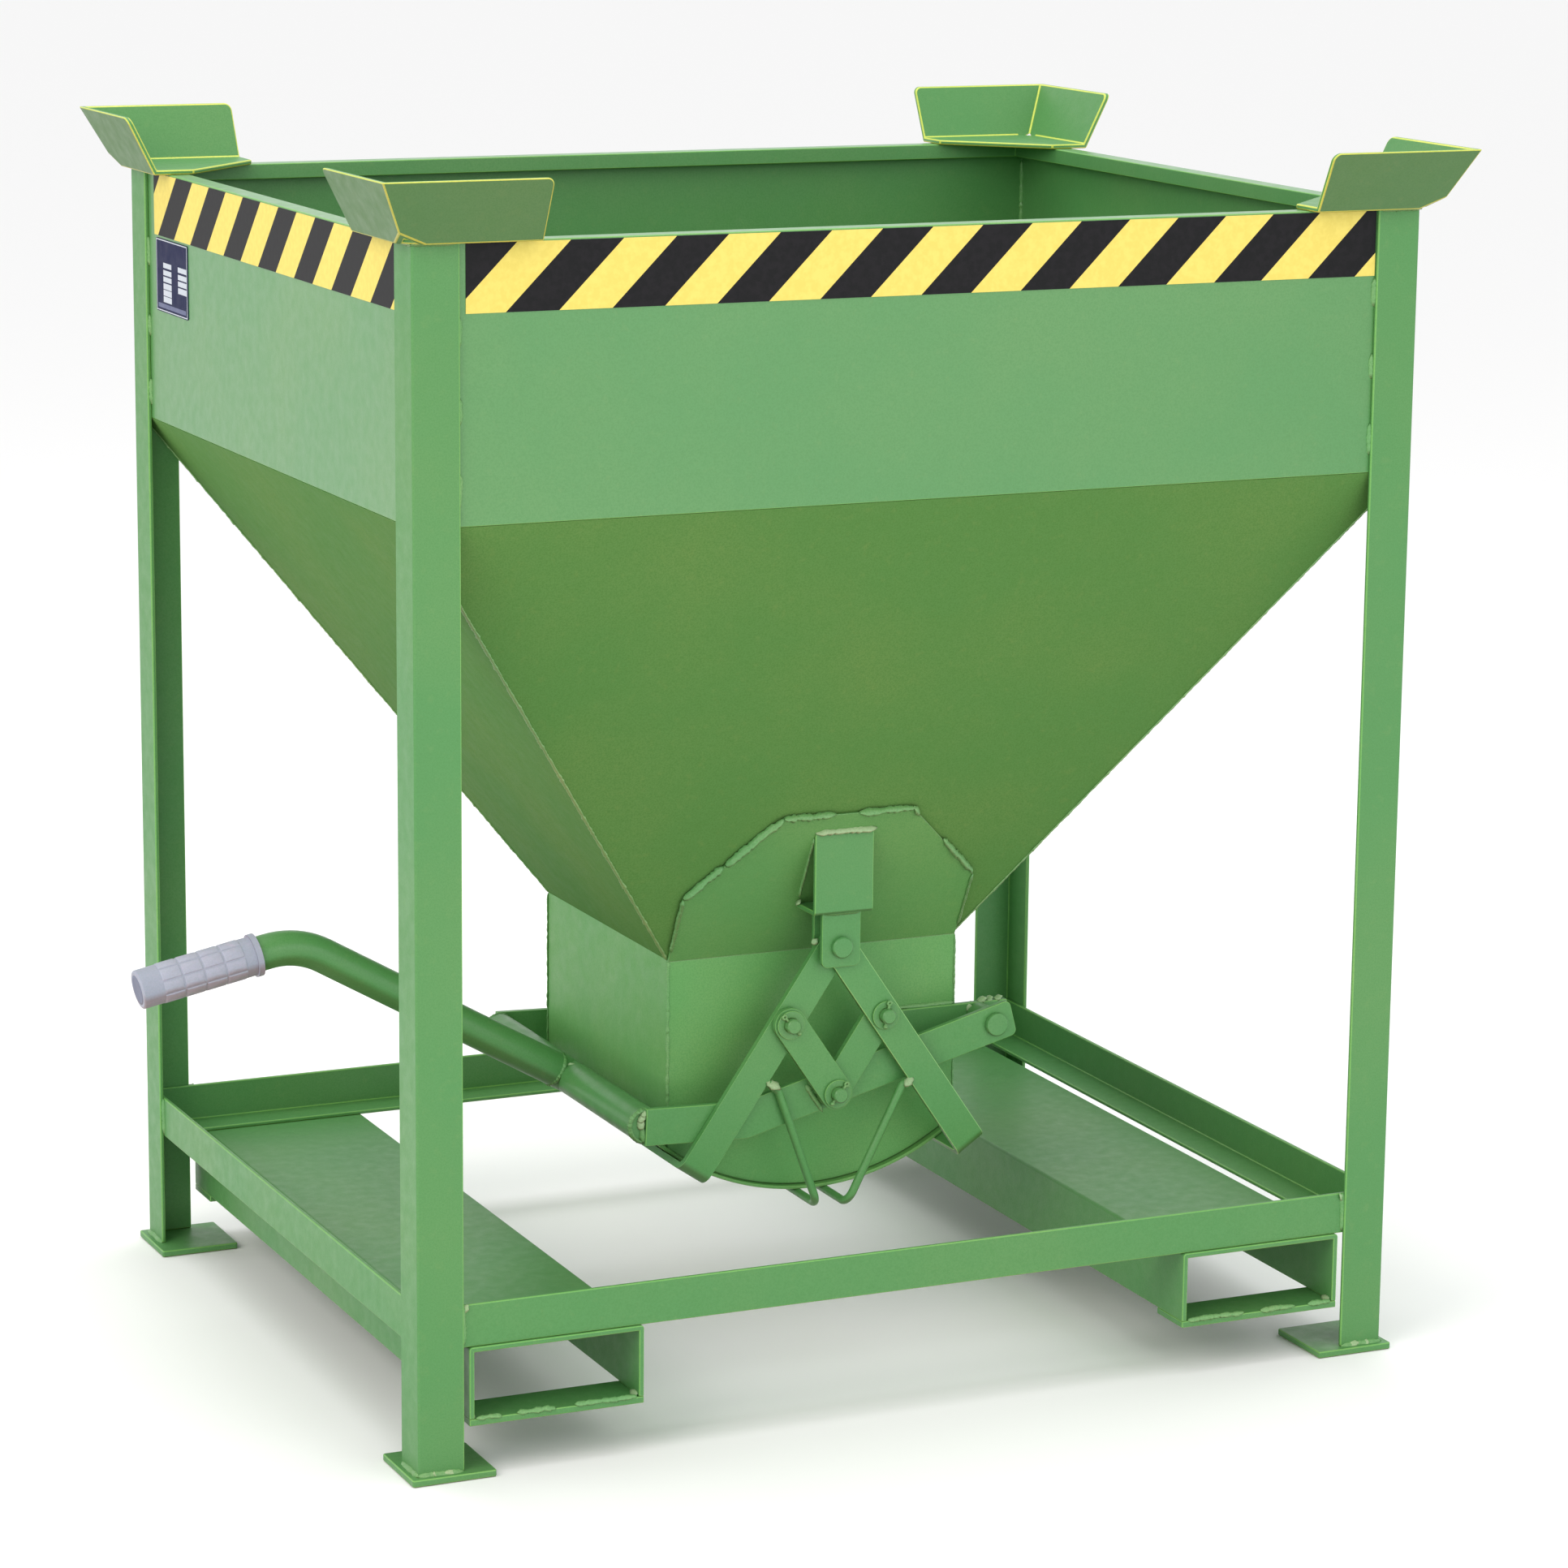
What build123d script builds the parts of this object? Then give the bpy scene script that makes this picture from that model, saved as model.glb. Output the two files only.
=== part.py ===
"""Stackable silo container with a double clam-shell outlet worked by one hand lever.

A square-cornered hopper box and its funnel hang in four angle-steel posts, which stand on
feet, carry two fork pockets and end in stacking cups.  Under the spout two curved shells
swing apart about one pivot line.  Four flat links and a lever with a tube handle move them.

Frame: millimetres, origin on the floor in the middle of the four posts, x to the right,
y to the back, z up.  The lever handle points to the left.
"""
import os
from math import atan, atan2, cos, degrees, radians, sin, sqrt, tan

from build123d import *

os.makedirs("parts", exist_ok=True)

# --- container frame -------------------------------------------------------------------
HALF_LENGTH = 620.0        # middle to the outer faces of the posts, along x
HALF_WIDTH = 500.0         # middle to the outer faces of the posts, along y
POST_TOP = 1380.0
POST_LEG = 55.0
POST_WALL = 5.0
FOOT_SIZE = 100.0
FOOT_THICK = 8.0
FOOT_OVERHANG = 10.0       # foot plate beyond the post faces
RAIL_LEG = 50.0
RAIL_WALL = 5.0
RAIL_BOTTOM = 150.0
POCKET_INNER_X = 347.0     # fork pocket, near wall
POCKET_OUTER_X = 558.0     # fork pocket, far wall
POCKET_WALL = 6.0
POCKET_BOTTOM = 66.0
POCKET_HALF_RUN = 498.0
POCKET_STRAP_WIDTH = 62.0
POCKET_STRAP_THICK = 8.0
CUP_BASE_OUT = 15.0        # cup base beyond the post faces
CUP_RIM_OUT = 50.0         # cup rim beyond the post faces
CUP_LENGTH = 160.0
CUP_END = 50.0             # square end of the cup base before its diagonal edge
CUP_WALL = 6.0
CUP_TOP = 1450.0
CUP_END_RADIUS = 9.0
CUP_CORNER_CUT = 26.0      # base cut off at its outer corner, along x and y
CUP_CORNER_RISE = 18.0

# --- hopper ----------------------------------------------------------------------------
SHEET = 4.0
BOX_HALF_X = HALF_LENGTH - POST_WALL
BOX_HALF_Y = HALF_WIDTH - POST_WALL
BOX_BOTTOM = 1073.0
BOX_CORNER_RADIUS = 6.0
RIM_WIDTH = 25.0
RIM_LIP = 19.0
SPOUT_HALF_X = 189.0
SPOUT_HALF_Y = 187.0
SPOUT_WALL = 5.0
CONE_BOTTOM = 488.0
TAPE_BOTTOM = 1303.0
TAPE_WIDTH = 75.0
TAPE_THICK = 0.8
PLATE_FROM_Y = 289.0
PLATE_TO_Y = 413.0
PLATE_BOTTOM = 1211.0
PLATE_TOP = 1300.0
PLATE_THICK = 1.2

# --- closure ---------------------------------------------------------------------------
PIVOT_Z = 505.5            # shared pivot line of both shells, above the floor, at x = 0
ARM_ANGLE = 34.4           # arms from the vertical with the shells closed
PIN_SPACING = 110.0        # pivot to arm pin, and arm pin to bottom pin
FLAT_WIDTH = 40.0          # flat bar of the arms and links
FLAT_THICK = 8.0
SHELL_INNER = 312.0
SHELL_WALL = 4.0
SHELL_HALF_Y = 200.0
SHELL_REACH = 40.0         # degrees covered by each shell
SHELL_GAP = 0.5            # half the gap between the closed shells
BEARING_ARC = 311.0        # bottom edge of the bearing plates
BEARING_WALL = 5.0
BEARING_SIDE_TOP = 573.0
BEARING_TOP = 671.0
BEARING_TOP_HALF = 84.0
STRAP_FACE = 316.5         # inner face of a strap below the shell, from the pivot
STRAP_BEND = 14.0
ROD_RADIUS = 5.0
ROD_WELD = (182.0, 200.0)  # left and right rod: weld on the arm, down from the pivot
ROD_ELBOW = ((72.0, 332.0), (88.0, 325.0))  # bends below the arms (x, z)
ROD_TURN_X = (19.0, 17.0)  # lower ends of the straight legs
ROD_TOP_BEND = 8.0
ROD_BEND = 16.0

# distances of the layers in front of (and behind) the middle plane
LEVER_LAYER = 239.0
INNER_LAYER = 247.5        # left arms and right links
OUTER_LAYER = 256.0        # right arms and left links
INNER_LUG = 241.0
OUTER_LUG = 264.5
LUG_THICK = 6.0
LUG_HALF = 25.0
LUG_BOTTOM = 481.0
LUG_CORNER = 8.0
BRACKET_HALF = 38.0
BRACKET_WALL = 6.0
BRACKET_FACE = 277.0
SHELF_TOP = 553.0
PIN_END = 277.0
PIVOT_PIN = 8.0            # radius
LINK_PIN = 9.0             # radius
PIN_HEAD = 13.0            # radius
PIN_HEAD_THICK = 6.5
RUNNING_GAP = 0.05         # pins in their holes
SIDE_GAP = 0.5             # between the heads and the bars beside them
WASHER_RADIUS = 17.5
WASHER_THICK = 3.0
SPLIT_RADIUS = 1.7
SPLIT_LENGTH = 27.0
SPLIT_EYE = 2.2
SPLIT_KNOB = 2.7
LEFT_PIN_LEAN = -42.0      # how each split pin is turned, from upright
RIGHT_PIN_LEAN = 10.0
BOTTOM_PIN_LEAN = 40.0

# lever
LEVER_X = 218.5            # lever pivot
LEVER_Z = 384.0
LEVER_WIDTH = 45.0
LEVER_TIP = 25.0           # bar beyond its pivot
LEVER_TIP_RADIUS = 8.0
LEVER_BEND = (111.0, 298.3)  # where the bar bends, left of the middle (x, z)
CROSS_X = -237.0           # cross tube at the low end of the bars
CROSS_Z = 303.0
CROSS_LAP = 2.5            # bar beyond the middle of the cross tube
TUBE_RADIUS = 21.2
TUBE_WALL = 3.2
SLOT_HALF_LENGTH = 21.0    # bottom pin slot, along the bar
SLOT_RADIUS = 13.5
SUPPORT_FROM_X = 100.0
SUPPORT_TO_X = 258.0
SUPPORT_BOTTOM = 351.0
SUPPORT_TOP = 400.0
SUPPORT_THICK = 8.0
BOSS_RADIUS = 16.0
BOLT_HEAD = 28.5
BOLT_HEAD_THICK = 7.0
HANDLE_TOP = (-585.6, 503.4)
HANDLE_END = (-778.0, 465.0)
HANDLE_BEND = 100.0
GRIP_LENGTH = 150.0
GRIP_RADIUS = 23.5
GRIP_COLLAR = 26.0
GRIP_COLLAR_LENGTH = 7.0
GRIP_END_WALL = 4.0
GRIP_BORE_GAP = 0.1

# --- worked out from the sizes above ---------------------------------------------------
CORNERS = (
    ("front_left", -1, -1),
    ("front_right", 1, -1),
    ("rear_left", -1, 1),
    ("rear_right", 1, 1),
)
SIDES = (("left", -1), ("right", 1))
FACES = (("front", -1), ("rear", 1))

CONE_HEIGHT = BOX_BOTTOM - CONE_BOTTOM
FRONT_SLOPE = (BOX_HALF_Y - SPOUT_HALF_Y) / CONE_HEIGHT
ARM_PIN_X = PIN_SPACING * sin(radians(ARM_ANGLE))
ARM_PIN_Z = PIVOT_Z - PIN_SPACING * cos(radians(ARM_ANGLE))
BOTTOM_PIN_Z = PIVOT_Z - 2 * PIN_SPACING * cos(radians(ARM_ANGLE))
LEVER_SLOPE = degrees(atan2(LEVER_Z - LEVER_BEND[1], LEVER_X + LEVER_BEND[0]))


def keep(part_builder, name):
    """Label one finished piece and write it as its own file."""
    part_builder.part.label = name
    export_step(part_builder.part, f"parts/{name}.step")


def facing(side, distance):
    """Upright plane at a distance in front of (side -1) or behind (side 1) the middle."""
    return Plane.XZ.offset(-side * distance)


def slanted_face(side, distance, height):
    """Point (y, z) on the outer face of the bearing plate, where it lies on the funnel."""
    slant = BEARING_WALL / cos(atan(FRONT_SLOPE))
    reach = SPOUT_HALF_Y + slant + FRONT_SLOPE * (height - CONE_BOTTOM)
    return (side * (reach + distance), height)


# --- posts, feet and stacking cups -----------------------------------------------------
for corner, sx, sy in CORNERS:
    with BuildPart() as post:
        with BuildSketch(Plane.XY.offset(FOOT_THICK)):
            with BuildLine():
                outer_x = sx * HALF_LENGTH
                outer_y = sy * HALF_WIDTH
                toe_x = sx * (HALF_LENGTH - POST_LEG)
                toe_y = sy * (HALF_WIDTH - POST_LEG)
                root_x = sx * (HALF_LENGTH - POST_WALL)
                root_y = sy * (HALF_WIDTH - POST_WALL)
                Polyline(
                    (outer_x, outer_y), (toe_x, outer_y), (toe_x, root_y),
                    (root_x, root_y), (root_x, toe_y), (outer_x, toe_y), close=True,
                )
            make_face()
        extrude(amount=POST_TOP - FOOT_THICK)
        heel = post.edges().filter_by(Axis.Z).sort_by_distance((outer_x, outer_y, POST_TOP / 2))[0]
        fillet(heel, radius=3.0)
    keep(post, f"post_{corner}")

    foot_x = sx * (HALF_LENGTH + FOOT_OVERHANG - FOOT_SIZE / 2)
    foot_y = sy * (HALF_WIDTH + FOOT_OVERHANG - FOOT_SIZE / 2)
    with BuildPart() as foot:
        with BuildSketch(Plane.XY):
            with Locations((foot_x, foot_y)):
                Rectangle(FOOT_SIZE, FOOT_SIZE)
        extrude(amount=FOOT_THICK)
        fillet(foot.edges().filter_by(Axis.Z), radius=3.0)
    keep(foot, f"foot_{corner}")

    base_x = HALF_LENGTH + CUP_BASE_OUT
    base_y = HALF_WIDTH + CUP_BASE_OUT
    rim_x = HALF_LENGTH + CUP_RIM_OUT
    rim_y = HALF_WIDTH + CUP_RIM_OUT
    end_x = base_x - CUP_LENGTH
    end_y = base_y - CUP_LENGTH
    flange_inset = CUP_WALL * 1.15
    base_top = POST_TOP + CUP_WALL
    with BuildPart() as cup:
        # two flared flanges with a mitred corner: one flared block inside another
        for mode, inset in ((Mode.ADD, 0.0), (Mode.SUBTRACT, flange_inset)):
            for height, edge_x, edge_y in ((POST_TOP, base_x, base_y), (CUP_TOP, rim_x, rim_y)):
                far_x = edge_x - inset
                far_y = edge_y - inset
                near_x = end_x - CUP_LENGTH - inset
                near_y = end_y - CUP_LENGTH - inset
                with BuildSketch(Plane.XY.offset(height)):
                    with Locations((sx * (far_x + near_x) / 2, sy * (far_y + near_y) / 2)):
                        Rectangle(far_x - near_x, far_y - near_y)
            loft(mode=mode)
        # free ends, with their upper corners rounded
        for plane, reach, start, direction in (
            (Plane.XZ, rim_x, end_x, sx),
            (Plane.YZ, rim_y, end_y, sy),
        ):
            with BuildSketch(plane):
                with BuildLine():
                    Polyline(
                        (direction * start, POST_TOP), (direction * start, CUP_TOP),
                        (direction * (reach + 1), CUP_TOP), (direction * (reach + 1), POST_TOP),
                        close=True,
                    )
                make_face()
                upper = vertices().sort_by_distance((direction * start, CUP_TOP, 0))[0]
                fillet(upper, radius=CUP_END_RADIUS)
            extrude(amount=rim_x + 10, both=True, mode=Mode.INTERSECT)
        with BuildSketch(Plane.XY.offset(POST_TOP)):
            with BuildLine():
                Polyline(
                    (sx * base_x, sy * (base_y - CUP_CORNER_CUT)),
                    (sx * (base_x - CUP_CORNER_CUT), sy * base_y),
                    (sx * end_x, sy * base_y), (sx * end_x, sy * (base_y - CUP_END)),
                    (sx * (base_x - CUP_END), sy * end_y), (sx * base_x, sy * end_y),
                    close=True,
                )
            make_face()
        extrude(amount=CUP_WALL)
        # relief at the mitred corner: the flanges rise from the cut edge of the base
        diagonal = Plane(
            origin=(sx * base_x, sy * base_y, 0), x_dir=(sx, sy, 0), z_dir=(sy, -sx, 0)
        )
        with BuildSketch(diagonal):
            with BuildLine():
                reach = CUP_CORNER_CUT / sqrt(2)
                Polyline(
                    (-reach, POST_TOP), (reach, POST_TOP + CUP_CORNER_RISE),
                    (reach, POST_TOP - 1), (-reach, POST_TOP - 1), close=True,
                )
            make_face()
        extrude(amount=CUP_LENGTH, both=True, mode=Mode.SUBTRACT)
    keep(cup, f"stacking_cup_{corner}")

# --- lower rails, lapped inside the posts and mitred at the corners ----------------------
for name, along_x, side in (
    ("rail_front", True, -1),
    ("rail_rear", True, 1),
    ("rail_left", False, -1),
    ("rail_right", False, 1),
):
    half_run = BOX_HALF_X if along_x else BOX_HALF_Y
    face = BOX_HALF_Y if along_x else BOX_HALF_X
    with BuildPart() as rail:
        for depth, height in ((RAIL_LEG, RAIL_WALL), (RAIL_WALL, RAIL_LEG)):
            outline = [
                (-half_run, side * face),
                (half_run, side * face),
                (half_run - depth, side * (face - depth)),
                (depth - half_run, side * (face - depth)),
            ]
            if not along_x:
                outline = [(b, a) for a, b in outline]
            with BuildSketch(Plane.XY.offset(RAIL_BOTTOM)):
                with BuildLine():
                    Polyline(*outline, close=True)
                make_face()
            extrude(amount=height)
    keep(rail, name)

# --- fork pockets: channels open below, tied by a flat strap near each end ---------------
pocket_width = POCKET_OUTER_X - POCKET_INNER_X
pocket_middle = (POCKET_OUTER_X + POCKET_INNER_X) / 2
for name, side in SIDES:
    with BuildPart() as pocket:
        with BuildSketch(Plane.XZ):
            with Locations((side * pocket_middle, (POCKET_BOTTOM + RAIL_BOTTOM) / 2)):
                Rectangle(pocket_width, RAIL_BOTTOM - POCKET_BOTTOM)
            inner_height = RAIL_BOTTOM - POCKET_WALL - POCKET_BOTTOM
            with Locations((side * pocket_middle, POCKET_BOTTOM + inner_height / 2)):
                Rectangle(pocket_width - 2 * POCKET_WALL, inner_height, mode=Mode.SUBTRACT)
        extrude(amount=POCKET_HALF_RUN, both=True)
        bends = pocket.edges().filter_by(Axis.Y).group_by(Axis.Z)[-1]
        fillet(bends, radius=4.0)
    keep(pocket, f"fork_pocket_{name}")

with BuildPart() as straps:
    with BuildSketch(Plane.XY.offset(POCKET_BOTTOM - POCKET_STRAP_THICK)):
        strap_y = POCKET_HALF_RUN - POCKET_STRAP_WIDTH / 2
        with GridLocations(2 * pocket_middle, 2 * strap_y, 2, 2):
            Rectangle(pocket_width, POCKET_STRAP_WIDTH)
    extrude(amount=POCKET_STRAP_THICK)
keep(straps, "fork_pocket_straps")

# --- hopper box with its folded rim, and the funnel below it -----------------------------
with BuildPart() as hopper_box:
    with BuildSketch(Plane.XY.offset(BOX_BOTTOM)):
        RectangleRounded(2 * BOX_HALF_X, 2 * BOX_HALF_Y, BOX_CORNER_RADIUS)
        RectangleRounded(
            2 * (BOX_HALF_X - SHEET), 2 * (BOX_HALF_Y - SHEET),
            BOX_CORNER_RADIUS - SHEET, mode=Mode.SUBTRACT,
        )
    extrude(amount=POST_TOP - BOX_BOTTOM)
    inner_x = BOX_HALF_X - RIM_WIDTH
    inner_y = BOX_HALF_Y - RIM_WIDTH
    with BuildSketch(Plane.XY.offset(POST_TOP - SHEET)):
        RectangleRounded(2 * BOX_HALF_X, 2 * BOX_HALF_Y, BOX_CORNER_RADIUS)
        Rectangle(2 * inner_x, 2 * inner_y, mode=Mode.SUBTRACT)
    extrude(amount=SHEET)
    with BuildSketch(Plane.XY.offset(POST_TOP - RIM_LIP)):
        Rectangle(2 * (inner_x + SHEET), 2 * (inner_y + SHEET))
        Rectangle(2 * inner_x, 2 * inner_y, mode=Mode.SUBTRACT)
    extrude(amount=RIM_LIP)
keep(hopper_box, "hopper_box")

with BuildPart() as funnel:
    for mode, inset in ((Mode.ADD, 0.0), (Mode.SUBTRACT, SPOUT_WALL)):
        with BuildSketch(Plane.XY.offset(CONE_BOTTOM)):
            Rectangle(2 * (SPOUT_HALF_X - inset), 2 * (SPOUT_HALF_Y - inset))
        with BuildSketch(Plane.XY.offset(BOX_BOTTOM)):
            Rectangle(2 * (BOX_HALF_X - inset), 2 * (BOX_HALF_Y - inset))
        loft(mode=mode)
keep(funnel, "hopper_funnel")

# --- spout: two side walls between two bearing plates ------------------------------------
spout_bottom = PIVOT_Z - sqrt(BEARING_ARC**2 - SPOUT_HALF_X**2)
with BuildPart() as spout_walls:
    with BuildSketch(Plane.XY.offset(spout_bottom)):
        with Locations(
            (SPOUT_WALL / 2 - SPOUT_HALF_X, 0),
            (SPOUT_HALF_X - SPOUT_WALL / 2, 0),
        ):
            Rectangle(SPOUT_WALL, 2 * SPOUT_HALF_Y)
    extrude(amount=CONE_BOTTOM - spout_bottom)
keep(spout_walls, "spout_side_walls")

bend_drop = BEARING_WALL * tan(atan(FRONT_SLOPE) / 2)
arc_bottom = PIVOT_Z - BEARING_ARC
for name, side in FACES:
    with BuildPart() as bearing_plate:
        # bent strip: upright in front of the spout, then lying on the funnel
        with BuildSketch(Plane.YZ):
            with BuildLine():
                top = BEARING_TOP + 20
                back_top = SPOUT_HALF_Y + FRONT_SLOPE * (top - CONE_BOTTOM)
                Polyline(
                    (side * SPOUT_HALF_Y, arc_bottom - 10),
                    (side * SPOUT_HALF_Y, CONE_BOTTOM),
                    (side * back_top, top),
                    slanted_face(side, 0, top),
                    (side * (SPOUT_HALF_Y + BEARING_WALL), CONE_BOTTOM - bend_drop),
                    (side * (SPOUT_HALF_Y + BEARING_WALL), arc_bottom - 10),
                    close=True,
                )
            make_face()
        extrude(amount=SPOUT_HALF_X, both=True)
        # outline seen from the front
        with BuildSketch(Plane.XZ):
            with BuildLine():
                ThreePointArc(
                    (-SPOUT_HALF_X, spout_bottom), (0, arc_bottom), (SPOUT_HALF_X, spout_bottom)
                )
                Polyline(
                    (SPOUT_HALF_X, spout_bottom), (SPOUT_HALF_X, BEARING_SIDE_TOP),
                    (BEARING_TOP_HALF, BEARING_TOP), (-BEARING_TOP_HALF, BEARING_TOP),
                    (-SPOUT_HALF_X, BEARING_SIDE_TOP), (-SPOUT_HALF_X, spout_bottom),
                )
            make_face()
        extrude(amount=HALF_WIDTH, both=True, mode=Mode.INTERSECT)
    keep(bearing_plate, f"bearing_plate_{name}")

# --- pivot brackets: an angle welded to the bearing plate, with two lugs below it --------
shelf_bottom = SHELF_TOP - BRACKET_WALL
bracket_back = BRACKET_FACE - BRACKET_WALL
plate_reach = SPOUT_HALF_Y + BEARING_WALL / cos(atan(FRONT_SLOPE))
for name, side in FACES:
    with BuildPart() as bracket:
        with BuildSketch(Plane.YZ):
            with BuildLine():
                face_top = CONE_BOTTOM + (BRACKET_FACE - plate_reach) / FRONT_SLOPE
                back_top = CONE_BOTTOM + (bracket_back - plate_reach) / FRONT_SLOPE
                Polyline(
                    (side * BRACKET_FACE, shelf_bottom),
                    (side * BRACKET_FACE, face_top),
                    (side * bracket_back, back_top),
                    (side * bracket_back, SHELF_TOP),
                    slanted_face(side, 0, SHELF_TOP),
                    slanted_face(side, 0, shelf_bottom),
                    close=True,
                )
            make_face()
        extrude(amount=BRACKET_HALF, both=True)
        bend_edge = bracket.edges().filter_by(Axis.X).sort_by_distance(
            (0, side * BRACKET_FACE, shelf_bottom)
        )[0]
        fillet(bend_edge, radius=5.0)
    keep(bracket, f"pivot_bracket_{name}")

with BuildPart() as lugs:
    for distance in (INNER_LUG, OUTER_LUG):
        with BuildSketch(facing(-1, distance)):
            with Locations((0, (LUG_BOTTOM + shelf_bottom) / 2)):
                Rectangle(2 * LUG_HALF, shelf_bottom - LUG_BOTTOM)
            fillet(vertices().group_by(Axis.Y)[0], radius=LUG_CORNER)
            with Locations((0, PIVOT_Z)):
                Circle(PIVOT_PIN + RUNNING_GAP, mode=Mode.SUBTRACT)
        extrude(amount=LUG_THICK)
    mirror(about=Plane.XZ)
keep(lugs, "pivot_lugs")

# --- pivot pins, held by a head in front and a washer and split pin behind ---------------
pivot_pin_back = INNER_LUG - 11.0
split_behind = INNER_LUG - 7.0
split_front = OUTER_LAYER + FLAT_THICK + 0.3 + WASHER_THICK + SPLIT_RADIUS + 1.0


def leaning(centre_x, centre_z, distance, lean):
    """Plane across a split pin that leans by so many degrees from upright."""
    turn = radians(lean)
    return Plane(origin=(centre_x, -distance, centre_z), x_dir=(0, 1, 0), z_dir=(sin(turn), 0, cos(turn)))


def split_hole(centre_x, centre_z, distance, lean=0.0):
    """Cross hole for a split pin in the pin being made."""
    with BuildSketch(leaning(centre_x, centre_z, distance, lean)) as hole:
        Circle(SPLIT_RADIUS + 0.3)
    extrude(hole.sketch, amount=PIVOT_PIN + 3, both=True, mode=Mode.SUBTRACT)


def split_pin(centre_x, centre_z, distance, lean=0.0):
    """Split pin with its eye at the top and its legs turned into a knob below."""
    with BuildPart(mode=Mode.PRIVATE) as upright:
        Cylinder(SPLIT_RADIUS, SPLIT_LENGTH)
        with Locations(Location((0, 0, SPLIT_LENGTH / 2 + SPLIT_EYE * 0.85), (90, 0, 0))):
            Torus(SPLIT_EYE, SPLIT_RADIUS * 0.88)
        with Locations((0, 0, -SPLIT_LENGTH / 2)):
            Sphere(SPLIT_KNOB)
    add(upright.part.moved(Location((centre_x, -distance, centre_z), (0, lean, 0))))


def washer(centre_x, centre_z, distance, outer_radius, bore):
    """Flat washer on a pin, in front of the middle plane."""
    with BuildSketch(facing(-1, distance)) as ring:
        with Locations((centre_x, centre_z)):
            Circle(outer_radius)
            Circle(bore + 0.3, mode=Mode.SUBTRACT)
    extrude(ring.sketch, amount=WASHER_THICK)


def round_pin(centre_x, centre_z, radius, start, end):
    """Plain length of pin between two distances in front of the middle plane."""
    with BuildSketch(facing(-1, start)) as disc:
        with Locations((centre_x, centre_z)):
            Circle(radius)
    extrude(disc.sketch, amount=end - start)


with BuildPart() as pivot_pins:
    round_pin(0, PIVOT_Z, PIVOT_PIN, pivot_pin_back, OUTER_LUG + LUG_THICK)
    round_pin(0, PIVOT_Z, PIN_HEAD, OUTER_LUG + LUG_THICK, OUTER_LUG + LUG_THICK + PIN_HEAD_THICK)
    rim = pivot_pins.faces().sort_by(Axis.Y)[0].edges()
    chamfer(rim, length=1.5)
    split_hole(0, PIVOT_Z, split_behind)
    mirror(about=Plane.XZ)
keep(pivot_pins, "pivot_pins")

with BuildPart() as pivot_washers:
    washer(0, PIVOT_Z, INNER_LUG - WASHER_THICK, PIN_HEAD, PIVOT_PIN)
    mirror(about=Plane.XZ)
keep(pivot_washers, "pivot_washers")

with BuildPart() as pivot_split_pins:
    split_pin(0, PIVOT_Z, split_behind)
    mirror(about=Plane.XZ)
keep(pivot_split_pins, "pivot_split_pins")

# --- lever supports: a flat bar on each bearing plate, with a boss for the lever bolt ----
spout_face = SPOUT_HALF_Y + BEARING_WALL
boss_start = spout_face + SUPPORT_THICK
boss_end = LEVER_LAYER - SIDE_GAP
for name, side in FACES:
    with BuildPart() as support:
        with BuildSketch(facing(side, spout_face)):
            with Locations(
                ((SUPPORT_FROM_X + SUPPORT_TO_X) / 2, (SUPPORT_BOTTOM + SUPPORT_TOP) / 2)
            ):
                Rectangle(SUPPORT_TO_X - SUPPORT_FROM_X, SUPPORT_TOP - SUPPORT_BOTTOM)
        extrude(amount=-side * SUPPORT_THICK)
        fillet(support.edges().filter_by(Axis.Y), radius=2.0)
    keep(support, f"lever_support_{name}")

with BuildPart() as bosses:
    with BuildSketch(facing(-1, boss_start)):
        with Locations((LEVER_X, LEVER_Z)):
            Circle(BOSS_RADIUS)
            Circle(PIVOT_PIN + RUNNING_GAP, mode=Mode.SUBTRACT)
    extrude(amount=boss_end - boss_start)
    mirror(about=Plane.XZ)
keep(bosses, "lever_bosses")

with BuildPart() as lever_bolts:
    head_start = LEVER_LAYER + FLAT_THICK + 0.3
    round_pin(LEVER_X, LEVER_Z, PIVOT_PIN, boss_start + 4, head_start)
    with BuildSketch(facing(-1, head_start)):
        with Locations((LEVER_X, LEVER_Z)):
            Circle(BOLT_HEAD / 2)
    extrude(amount=BOLT_HEAD_THICK)
    chamfer(lever_bolts.faces().sort_by(Axis.Y)[0].edges(), length=1.2)
    mirror(about=Plane.XZ)
keep(lever_bolts, "lever_bolts")

# --- warning tape and rating plate -------------------------------------------------------
TAPE_RUNS = (
    ("front", Plane.XZ.offset(BOX_HALF_Y), -557.0, 564.0),
    ("rear", Plane.XZ.offset(-BOX_HALF_Y - TAPE_THICK), -560.0, 560.0),
    ("left", Plane.YZ.offset(-BOX_HALF_X - TAPE_THICK), -440.0, 420.0),
    ("right", Plane.YZ.offset(BOX_HALF_X), -440.0, 440.0),
)
for name, plane, start, end in TAPE_RUNS:
    with BuildPart() as tape:
        with BuildSketch(plane):
            with Locations(((start + end) / 2, TAPE_BOTTOM + TAPE_WIDTH / 2)):
                Rectangle(end - start, TAPE_WIDTH)
        extrude(amount=TAPE_THICK)
    keep(tape, f"warning_tape_{name}")

with BuildPart() as rating_plate:
    with BuildSketch(Plane.YZ.offset(-BOX_HALF_X - PLATE_THICK)):
        with Locations(((PLATE_FROM_Y + PLATE_TO_Y) / 2, (PLATE_BOTTOM + PLATE_TOP) / 2)):
            RectangleRounded(PLATE_TO_Y - PLATE_FROM_Y, PLATE_TOP - PLATE_BOTTOM, 3.0)
    extrude(amount=PLATE_THICK)
keep(rating_plate, "rating_plate")

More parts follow.
